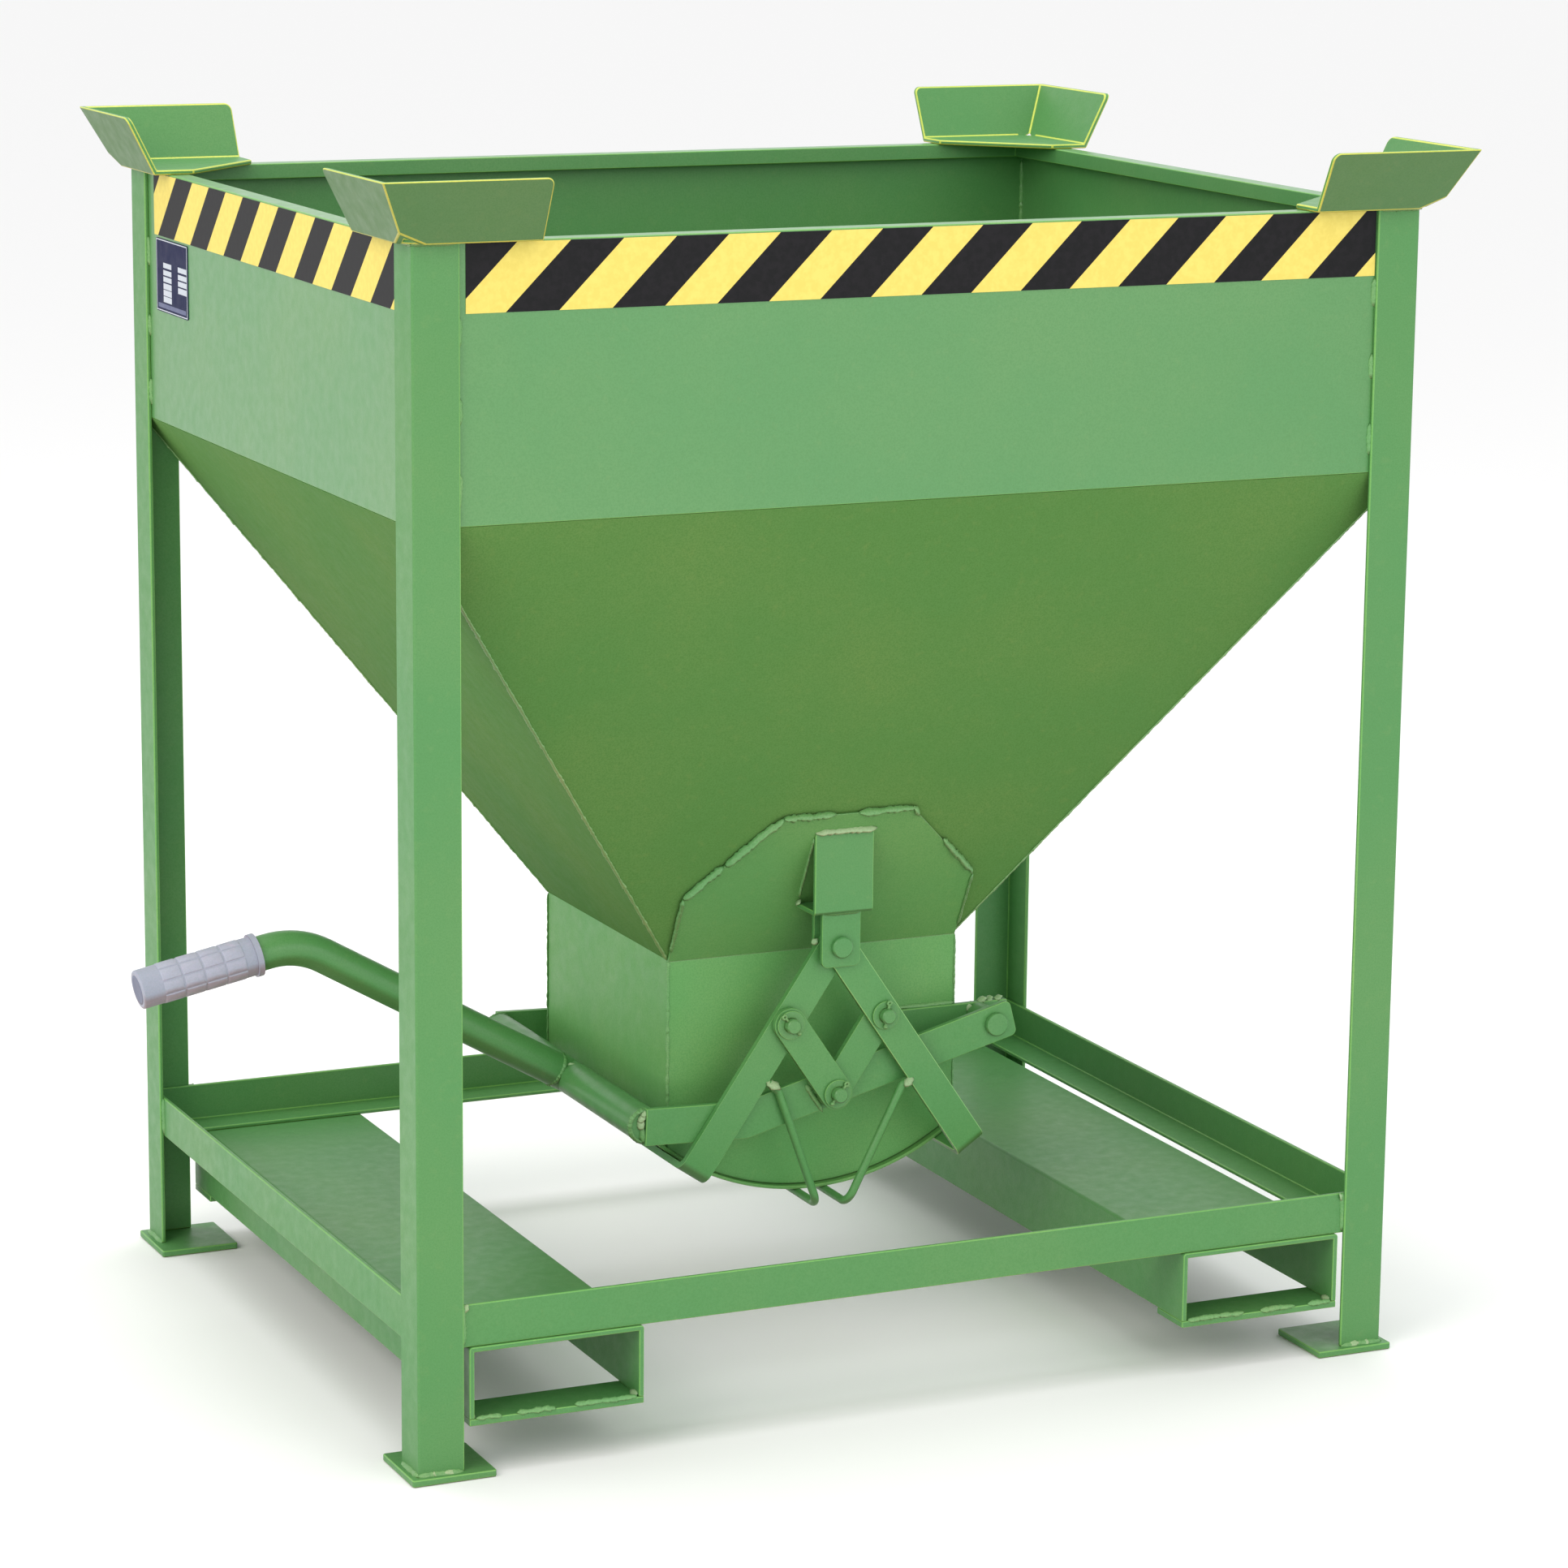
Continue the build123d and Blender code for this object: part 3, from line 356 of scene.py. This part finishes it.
# Their bevels take the paler weld enamel as a painted highlight.
dress(
    spout_green, "bearing_plate_front", "bearing_plate_rear",
    edge=0.0010, rim=weld_paint, crease=20,
)
weld(
    "spout_corner_seams", "container",
    at_corners(((0.1893, 0.1915, 0.486), (0.1893, 0.1915, 0.262), (1, 1, 0))),
    half=0.0018, swell=0.7,
)


def on_plate(x, z):
    """Point on the rear bearing plate's outer face, where it lies on the funnel."""
    return (x, PLATE_FOLD_Y + PLATE_LEAN * (z - PLATE_FOLD_Z), z)


def on_slant(side, t):
    """Point on the plate's slanted edge, from the shoulder at 0 to the top at 1."""
    rise = PLATE_TOP - PLATE_SHOULDER
    return on_plate(side * (PLATE_HALF - 0.105 * t), PLATE_SHOULDER + rise * t)


weld(
    "bearing_plate_stitches", "container",
    front_and_rear(*[
        (on_slant(side, a), on_slant(side, b), (side * 0.5, 1, 0.5))
        for side, a, b in ((-1, 0.0, 0.38), (-1, 0.42, 0.98), (1, 0.0, 0.50), (1, 0.90, 1.0))
    ], *[
        (on_plate(a, PLATE_TOP), on_plate(b, PLATE_TOP), (0, 1, 1))
        for a, b in ((-0.083, -0.020), (0.014, 0.083))
    ]),
    half=0.0044, swell=0.5,
)
weld(
    "bearing_plate_side_stitches", "container",
    at_corners((on_plate(PLATE_HALF, 0.500), on_plate(PLATE_HALF, 0.570), (1, 1, 0))),
    half=0.0026,
)


# PIVOT BRACKETS. A folded plate on each bearing plate, with two lugs below it that hold the
# jaw pin between them. All of it is 6 mm flat steel, welded, and painted with the container.

bracket_green = enamel("enamel_on_brackets", (0.080, 0.262, 0.076), rough=0.40)
dress(
    bracket_green, "pivot_bracket_front", "pivot_bracket_rear", "pivot_lugs",
    edge=0.0012, rim=edge_highlight_green,
)
weld(
    "bracket_top_welds", "container",
    front_and_rear(((-0.037, 0.2775, 0.6485), (0.038, 0.2775, 0.6485), (0, 1, 1))),
    half=0.0046, swell=0.5, paint=weld_lump_highlight,
)
weld(
    "bracket_welds", "container",
    at_corners(
        (on_plate(0.0383, 0.562), on_plate(0.0383, 0.640), (1, 0, 0)),
        ((0.0252, 0.2450, 0.5430), (0.0252, 0.2450, 0.5465), (1, 0, -1)),
    )
    + front_and_rear(((-0.022, 0.2712, 0.5468), (0.022, 0.2712, 0.5468), (0, 1, -1))),
    half=0.0028,
)
weld(
    "shelf_end_blobs", "container",
    front_and_rear(((-0.0395, 0.2270, 0.5545), (-0.0385, 0.2350, 0.5540), (-1, 0, 1))),
    half=0.0042, paint=weld_lump_highlight,
)


# PIVOT PINS. Turned pins with a bevelled head, a flat washer and a split pin behind. They
# were plated, but the whole closure was sprayed once it was together, so they are green too.

pin_green = enamel("enamel_on_pins", (0.082, 0.270, 0.082), rough=0.36, cloud=0.16, grain=0.12)
dress(pin_green, "pivot_pins", edge=0.0010, rim=edge_highlight_green)
dress(pin_green, "pivot_washers", edge=0.0006, rim=edge_highlight_green)
dress(weld_paint, "pivot_split_pins", edge=0.0)


# LEVER SUPPORTS. An 8 mm flat bar welded on each bearing plate below the funnel, with a
# turned boss and a shouldered bolt, which is what the lever swings on.

bar_root_y = 0.1935
dress(bracket_green, "lever_support_front", "lever_support_rear", edge=0.0012, rim=edge_highlight_green)
dress(bracket_green, "lever_bosses", edge=0.0008)
dress(pin_green, "lever_bolts", edge=0.0008)
weld(
    "lever_support_welds", "container",
    front_and_rear(
        ((0.1040, bar_root_y, 0.4012), (0.1860, bar_root_y, 0.4012), (0, 1, 1)),
        ((0.1040, bar_root_y, 0.3498), (0.1860, bar_root_y, 0.3498), (0, 1, -1)),
        ((0.0998, bar_root_y, 0.3540), (0.0998, bar_root_y, 0.3970), (-1, 1, 0)),
    ),
    half=0.0030,
)
weld(
    "lever_support_spatter", "container",
    front_and_rear(
        ((0.2030, 0.2002, 0.3930), (0.2080, 0.2002, 0.3940), (0, 9.0, 1)),
        ((0.2200, 0.1965, 0.4012), (0.2290, 0.1965, 0.4022), (0, 0.4, 1)),
        ((0.2320, 0.1960, 0.4005), (0.2380, 0.1960, 0.4015), (0, 0.4, 1)),
        ((0.2430, 0.1970, 0.4012), (0.2500, 0.1970, 0.4022), (0, 0.4, 1)),
    ),
    half=0.0044, paint=weld_lump_highlight,
)


# CLAM-SHELL JAWS. Each is a shell of 4 mm rolled sheet that closes half of the spout from
# below, on a strap of 40 x 8 mm flat bar that runs under it and up both ends to the jaw pin.

jaw_green = enamel("enamel_on_jaws", (0.110, 0.320, 0.085), rough=0.46, cloud=0.16)
arm_green = enamel("enamel_on_arms", (0.082, 0.275, 0.078), rough=0.40)
# The bright green on the straps' bevels is a painted highlight along their side edges.
arm_edge_highlight = enamel("enamel_painted_highlight_on_arm_edges", (0.270, 0.560, 0.190), rough=0.36, cloud=0.10)
dress(jaw_green, "left_shell", "right_shell", edge=0.0010, rim=edge_highlight_green)
dress(arm_green, "left_strap", "right_strap", edge=0.0021, rim=arm_edge_highlight)
weld(
    "left_arm_top_blobs", "left_jaw",
    front_and_rear(((-0.0290, 0.2530, 0.5075), (-0.0245, 0.2545, 0.5125), (-1, 1, 0))),
    half=0.0034, paint=weld_lump_highlight,
)


# CHECK RODS. A bent 10 mm round bar on each end of a jaw, hooked under its shell, that
# stiffens the free edge. The top end is welded to the arm with one fat tack.

dress(arm_green, "left_rod", "right_rod", edge=0.0)
weld(
    "left_rod_tacks", "left_jaw",
    front_and_rear(((-0.0865, 0.2555, 0.3455), (-0.0760, 0.2590, 0.3370), (0, 1, 1))),
    half=0.0058, paint=weld_lump_highlight,
)
weld(
    "right_rod_tacks", "right_jaw",
    front_and_rear(((0.0985, 0.2640, 0.3335), (0.0905, 0.2655, 0.3260), (0, 1, 1))),
    half=0.0052, paint=weld_lump_highlight,
)


# SCISSOR LINKS. Flat bars that join each jaw's arm to the lever. When the lever is lifted
# they spread the arms evenly, so both jaws open by the same amount.

dress(arm_green, "left_links", "right_links", edge=0.0012, rim=edge_highlight_green)
dress(
    pin_green, "left_link_pins", "right_link_pins", "bottom_link_pins",
    edge=0.0010, rim=edge_highlight_green,
)
dress(pin_green, "left_pin_washers", "right_pin_washers", edge=0.0006, rim=edge_highlight_green)
dress(weld_paint, "left_pin_split_pins", "right_pin_split_pins", edge=0.0)


# LEVER. Two cranked flat bars hang on the support bolts, front and rear, and meet on a cross
# tube. The operator's tube is butt-welded to the middle of that and bent up to the grip.

tube_middle = Vector((-0.237, 0, 0.303))
handle_top = Vector((-0.5856, 0, 0.5034))
bead_circle = 0.0200            # root of a bead that goes round a 42.4 mm tube

tube_green = enamel("enamel_on_tubes", (0.078, 0.255, 0.076), rough=0.38)
dress(arm_green, "lever_bar_front", "lever_bar_rear", edge=0.0014, rim=edge_highlight_green)
dress(tube_green, "cross_tube", "handle_tube", edge=0.0)


def round_tube(centre, normal, parts=28):
    """Runs of a bead that goes round a tube."""
    u = normal.orthogonal().normalized()
    v = normal.cross(u)
    turns = [2 * pi * i / parts for i in range(parts + 1)]
    spots = [centre + (u * cos(turn) + v * sin(turn)) * bead_circle for turn in turns]
    return [
        (a, b, (a + b) / 2 - centre + normal * bead_circle * 0.6) for a, b in zip(spots, spots[1:])
    ]


tube_end = Vector((0, 0.2386, 0))
weld(
    "cross_tube_end_welds", "lever",
    round_tube(tube_middle - tube_end, Vector((0, -1, 0)))
    + round_tube(tube_middle + tube_end, Vector((0, 1, 0))),
    half=0.0030, joined=True,
)
bar_end = ((-0.2360, 0.3225), (-0.2410, 0.3180), (-0.2440, 0.3110), (-0.2440, 0.3030))
weld(
    "bar_end_welds", "lever",
    front_and_rear(*[
        ((x1, 0.2415, z1), (x2, 0.2415, z2), (-1, 0.8, 0.2))
        for (x1, z1), (x2, z2) in zip(bar_end, bar_end[1:])
    ]),
    half=0.0042, swell=0.5, paint=weld_lump_highlight, joined=True,
)
weld(
    "bar_end_welds_low", "lever",
    front_and_rear(((-0.2430, 0.2412, 0.3030), (-0.2405, 0.2412, 0.2850), (-1, 1, 0))),
    half=0.0042, swell=0.5,
)
lean = (handle_top - tube_middle).normalized()
weld(
    "handle_root_weld", "lever", round_tube(tube_middle + lean * 0.0225, lean),
    half=0.0030, joined=True,
)
weld(
    "handle_root_blobs", "lever",
    front_and_rear(
        ((-0.2520, 0.0215, 0.3080), (-0.2490, 0.0218, 0.3150), (0, 1, 0.5)),
        ((-0.2440, 0.0200, 0.3180), (-0.2405, 0.0190, 0.3215), (0, 1, 1)),
    ),
    half=0.0050, swell=0.7, paint=weld_lump_highlight,
)
weld(
    "lever_bar_seams", "lever",
    front_and_rear(((-0.0330, 0.2475, 0.3330), (-0.0120, 0.2475, 0.3000), (0, 1, 0))),
    half=0.0026, swell=0.6,
)


# HAND GRIP. A light grey moulded sleeve pushed over the last 150 mm of the tube, with a
# rolled collar at its root and nine rows of four raised pads moulded round it.

ROWS_ROUND, PADS_LONG = 9, 4
FIRST_PAD, PAD_PITCH, PAD_LENGTH = 0.0220, 0.0262, 0.0254
PAD_GAP, PAD_SHARE = 0.04, 0.92     # round the grip, as shares of a row's width
SLEEVE_RADIUS = 0.0235
pad_profile = (
    (0.0, -0.0008), (0.03, 0.0003), (0.09, 0.0007), (0.5, 0.0008),
    (0.91, 0.0007), (0.97, 0.0003), (1.0, -0.0008),
)
disc_profile = ((0.0182, -0.0002), (0.0176, 0.0003), (0.0150, 0.0002), (0.0060, 0.0001))


def moulded(name, colour, rough, skin=0.16):
    """Moulded soft plastic: near-even colour, a fine spark-eroded skin and hand dirt."""
    plastic = enamel(name, colour, rough=rough, cloud=0.07, grain=0.05, peel=skin)
    shader = plastic.node_tree.nodes["Principled BSDF"]
    shader.inputs["Coat Weight"].default_value = 0.0
    shader.inputs["Subsurface Weight"].default_value = 0.06
    return plastic


def skinned(bm, rings, closed=False):
    """Faces between each row of corners and the next."""
    for a, b in zip(rings, rings[1:]):
        for k in range(len(a) if closed else len(a) - 1):
            n = (k + 1) % len(a)
            bm.faces.new((a[k], a[n], b[n], b[k]))


grip_grey = moulded("grip_plastic", (0.315, 0.345, 0.430), 0.48)
grip_pad = moulded("grip_pads_plastic", (0.350, 0.380, 0.470), 0.40, skin=0.24)
dress(grip_grey, "handle_grip", edge=0.0)

outer_end = Vector((-0.7780, 0, 0.4650))
along = (handle_top - outer_end).normalized()
across = Vector((0, 1, 0))
up = along.cross(across)


def off_axis(turn, reach):
    """Way from the grip's axis out to a corner of its surface."""
    return (across * cos(turn) + up * sin(turn)) * reach


bm = bmesh.new()
for row in range(ROWS_ROUND):
    for pad in range(PADS_LONG):
        lines = []
        for u, lift_u in pad_profile:
            spot = outer_end + along * (FIRST_PAD + PAD_PITCH * pad + PAD_LENGTH * u)
            lines.append([
                bm.verts.new(spot + off_axis(
                    2 * pi * (row + PAD_GAP + PAD_SHARE * v) / ROWS_ROUND,
                    SLEEVE_RADIUS + min(lift_u, lift_v),
                ))
                for v, lift_v in pad_profile
            ])
        skinned(bm, lines)
made("grip_pads", bm, grip_pad, "lever")

bm = bmesh.new()
rings = []
corners_round, disc_out = 48, 0.0040
for reach, lift in disc_profile:
    middle = outer_end - along * (disc_out + lift)
    turns = [2 * pi * k / corners_round for k in range(corners_round)]
    rings.append([bm.verts.new(middle + off_axis(turn, reach)) for turn in turns])
skinned(bm, rings, closed=True)
bm.faces.new(rings[-1])
end_plastic = moulded("grip_end_plastic", (0.150, 0.175, 0.260), 0.55)
made("grip_end_disc", bm, end_plastic, "lever")


# STACKING CUPS. A 6 mm steel plate on top of each post, cut off slantwise on its inner side,
# with two flared flanges on its outer sides. They meet at the corner in a welded mitre and
# guide the feet of the container above.

CUP_UNDERSIDE = 1.380
# The bright yellow-green on the cups' bevels is a painted highlight along their edges.
cup_edge_highlight = enamel(
    "enamel_painted_highlight_on_cup_edges", (0.480, 0.600, 0.090), rough=0.40, cloud=0.20
)
dress(frame_green, *[f"stacking_cup_{c}" for c in corner_names], edge=0.0017, rim=cup_edge_highlight)
weld("cup_to_post_welds", "container", round_post(CUP_UNDERSIDE - PROUD, -1), half=0.0036)


# WARNING TAPE. Reflective film in yellow and black slanted bars, wiped down round all four
# sides of the box just under the rim. It is a print on film, so the bars are crisp.

TAPE_TOP = 1.378
yellow, dull_yellow = (0.790, 0.640, 0.150), (0.745, 0.595, 0.130)
black, deep_black = (0.009, 0.008, 0.010), (0.005, 0.005, 0.006)


def slanted_tape(name, axis, sign, start, period):
    """Film with 45 degree bars, counted along an axis from start before its middle."""
    film = bpy.data.materials.new(name)
    film.use_nodes = True
    tree = film.node_tree
    shader = tree.nodes["Principled BSDF"]
    shader.inputs["Coat Weight"].default_value = 0.10
    shader.inputs["Coat Roughness"].default_value = 0.30
    shader.inputs["Specular IOR Level"].default_value = 0.14
    place = tree.nodes.new("ShaderNodeTexCoord")
    axes = tree.nodes.new("ShaderNodeSeparateXYZ")
    tree.links.new(place.outputs["Object"], axes.inputs["Vector"])

    def sums(kind, a, b):
        step = tree.nodes.new("ShaderNodeMath")
        step.operation = kind
        for i, value in enumerate((a, b)):
            if isinstance(value, bpy.types.NodeSocket):
                tree.links.new(value, step.inputs[i])
            else:
                step.inputs[i].default_value = value
        return step.outputs[0]

    run = sums("MULTIPLY", axes.outputs[axis], sign)
    slant = sums("SUBTRACT", sums("ADD", run, TAPE_TOP + start), axes.outputs["Z"])
    bar = sums("GREATER_THAN", sums("FRACT", sums("DIVIDE", slant, period), 0.0), 0.5)
    wear = tree.nodes.new("ShaderNodeTexNoise")
    wear.inputs["Scale"].default_value = 140.0
    wear.inputs["Detail"].default_value = 5.0
    tree.links.new(place.outputs["Object"], wear.inputs["Vector"])

    def shades(light, dark):
        ramp = tree.nodes.new("ShaderNodeValToRGB")
        for stop, share, tone in zip(ramp.color_ramp.elements, (0.40, 0.62), (dark, light)):
            stop.position = share
            stop.color = (*tone, 1)
        tree.links.new(wear.outputs["Fac"], ramp.inputs["Fac"])
        return ramp.outputs["Color"]

    colour = tree.nodes.new("ShaderNodeMix")
    colour.data_type = "RGBA"
    tree.links.new(bar, colour.inputs[0])
    tree.links.new(shades(yellow, dull_yellow), colour.inputs[6])
    tree.links.new(shades(black, deep_black), colour.inputs[7])
    tree.links.new(colour.outputs[2], shader.inputs["Base Color"])
    gloss = tree.nodes.new("ShaderNodeMapRange")
    gloss.inputs["To Min"].default_value = 0.46
    gloss.inputs["To Max"].default_value = 0.60
    tree.links.new(wear.outputs["Fac"], gloss.inputs["Value"])
    tree.links.new(gloss.outputs["Result"], shader.inputs["Roughness"])
    ripple = tree.nodes.new("ShaderNodeBump")
    ripple.inputs["Strength"].default_value = 0.10
    ripple.inputs["Distance"].default_value = 0.0008
    tree.links.new(wear.outputs["Fac"], ripple.inputs["Height"])
    tree.links.new(ripple.outputs["Normal"], shader.inputs["Normal"])
    return film


for side, axis, sign, start, period in (
    ("front", "X", 1.0, 0.4982, 0.1234), ("rear", "X", -1.0, 0.4982, 0.1234),
    ("left", "Y", -1.0, 0.3937, 0.1274), ("right", "Y", 1.0, 0.3937, 0.1274),
):
    film = slanted_tape(f"tape_{side}_film", axis, sign, start, period)
    dress(film, f"warning_tape_{side}", edge=0)


# RATING PLATE. A dark blue printed plate on the left side, with a pale border, two columns
# of blank panels and a pale strip along the bottom. Nothing is lettered on it.

plate_blue = enamel(
    "rating_plate_ink", (0.014, 0.018, 0.062),
    rough=0.55, gloss=0.0, shine=0.12, cloud=0.05, grain=0.05, peel=0.03,
)
plate_pale = enamel(
    "rating_plate_print", (0.520, 0.560, 0.640), rough=0.36, cloud=0.06, grain=0.06, peel=0.03
)
strip_blue = enamel(
    "rating_plate_strip_ink", (0.060, 0.075, 0.190), rough=0.34, cloud=0.05, grain=0.05, peel=0.03
)
dress(plate_blue, "rating_plate", edge=0)


def printed_patches(name, patches, lift, paint):
    """Flat patches on the plate: two shares from the rear edge, two from the top."""
    low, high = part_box("rating_plate")
    sunk = lift * 0.2
    bm = bmesh.new()
    for a, b, c, d in patches:
        y1, y2 = high.y + (low.y - high.y) * a, high.y + (low.y - high.y) * b
        z1, z2 = high.z + (low.z - high.z) * c, high.z + (low.z - high.z) * d
        outline = ((y1, z1), (y1, z2), (y2, z2), (y2, z1))
        face = bm.faces.new([bm.verts.new((low.x - sunk, y, z)) for y, z in outline])
        grown = bmesh.ops.extrude_face_region(bm, geom=[face])["geom"]
        front = [v for v in grown if isinstance(v, bmesh.types.BMVert)]
        bmesh.ops.translate(bm, vec=(-lift, 0, 0), verts=front)
    made(name, bm, paint, "container", smooth=False)


lines = ((0.32, 0.39), (0.42, 0.49), (0.51, 0.58), (0.60, 0.68), (0.69, 0.77), (0.78, 0.86))
panels = [(0.23, 0.49, c, d) for c, d in lines] + [(0.70, 0.97, c, d) for c, d in lines[:4]]
border = (
    (0.012, 0.988, 0.010, 0.024), (0.012, 0.988, 0.974, 0.988),
    (0.012, 0.023, 0.024, 0.974), (0.977, 0.988, 0.024, 0.974),
)
strip = (0.06, 0.94, 0.885, 0.945)
printed_patches("rating_plate_panels", panels, 0.00016, plate_pale)
printed_patches("rating_plate_border", border, 0.00012, plate_pale)
printed_patches("rating_plate_strip", [strip], 0.00010, strip_blue)


# STUDIO. A sheet of pale paper for a floor, an even pale surround and three large soft
# lamps, with the camera a little above eye height, in front of the left front post.

bm = bmesh.new()
bmesh.ops.create_grid(bm, x_segments=1, y_segments=1, size=30)
shape = bpy.data.meshes.new("studio_floor")
bm.to_mesh(shape)
bm.free()
floor = bpy.data.objects.new("studio_floor", shape)
floor.location = (0, 0, -0.0005)
bpy.context.scene.collection.objects.link(floor)
pale = bpy.data.materials.new("studio_floor_paper")
pale.use_nodes = True
paper = pale.node_tree.nodes["Principled BSDF"]
paper.inputs["Base Color"].default_value = (0.93, 0.93, 0.93, 1)
paper.inputs["Roughness"].default_value = 0.9
paper.inputs["Specular IOR Level"].default_value = 0.1
shape.materials.append(pale)

surround = bpy.data.worlds.new("studio_surround")
surround.use_nodes = True
glow = surround.node_tree.nodes["Background"]
glow.inputs["Color"].default_value = (1.0, 1.0, 1.0, 1)
glow.inputs["Strength"].default_value = 1.0
bpy.context.scene.world = surround
bpy.context.scene.view_settings.view_transform = "Standard"


def soft_lamp(name, place, aim, size, watts, tint):
    """A rectangular lamp turned towards a point."""
    lamp = bpy.data.lights.new(name, "AREA")
    lamp.shape = "RECTANGLE"
    lamp.size, lamp.size_y = size
    lamp.energy = watts
    lamp.color = tint
    piece = bpy.data.objects.new(name, lamp)
    piece.location = place
    piece.rotation_euler = (Vector(aim) - Vector(place)).to_track_quat("-Z", "Y").to_euler()
    bpy.context.scene.collection.objects.link(piece)


warm, cool, white = (1.0, 0.95, 0.85), (0.97, 1.0, 1.0), (1.0, 1.0, 1.0)
soft_lamp("key_from_the_left", (-5.2, -2.6, 4.0), (0, 0, 0.8), (3.5, 3.5), 130, warm)
soft_lamp("fill_in_front", (1.2, -6.0, 2.6), (0, 0, 0.7), (4.0, 3.0), 60, cool)
soft_lamp("top_light", (0, 0.5, 5.2), (0, 0, 1.0), (4.0, 4.0), 110, white)

lens = bpy.data.cameras.new("camera")
lens.lens = 114.19
lens.sensor_width = 36.0
lens.shift_x = 0.0094
lens.shift_y = 0.00134
camera = bpy.data.objects.new("camera", lens)
camera.location = (-2.4359, -5.4429, 1.9211)
looking = Vector((0.40313, 0.89095, -0.20901)).to_track_quat("-Z", "Y")
roll = Quaternion((0, 0, 1), radians(0.533))
camera.rotation_mode = "QUATERNION"
camera.rotation_quaternion = looking @ roll
bpy.context.scene.collection.objects.link(camera)
bpy.context.scene.camera = camera
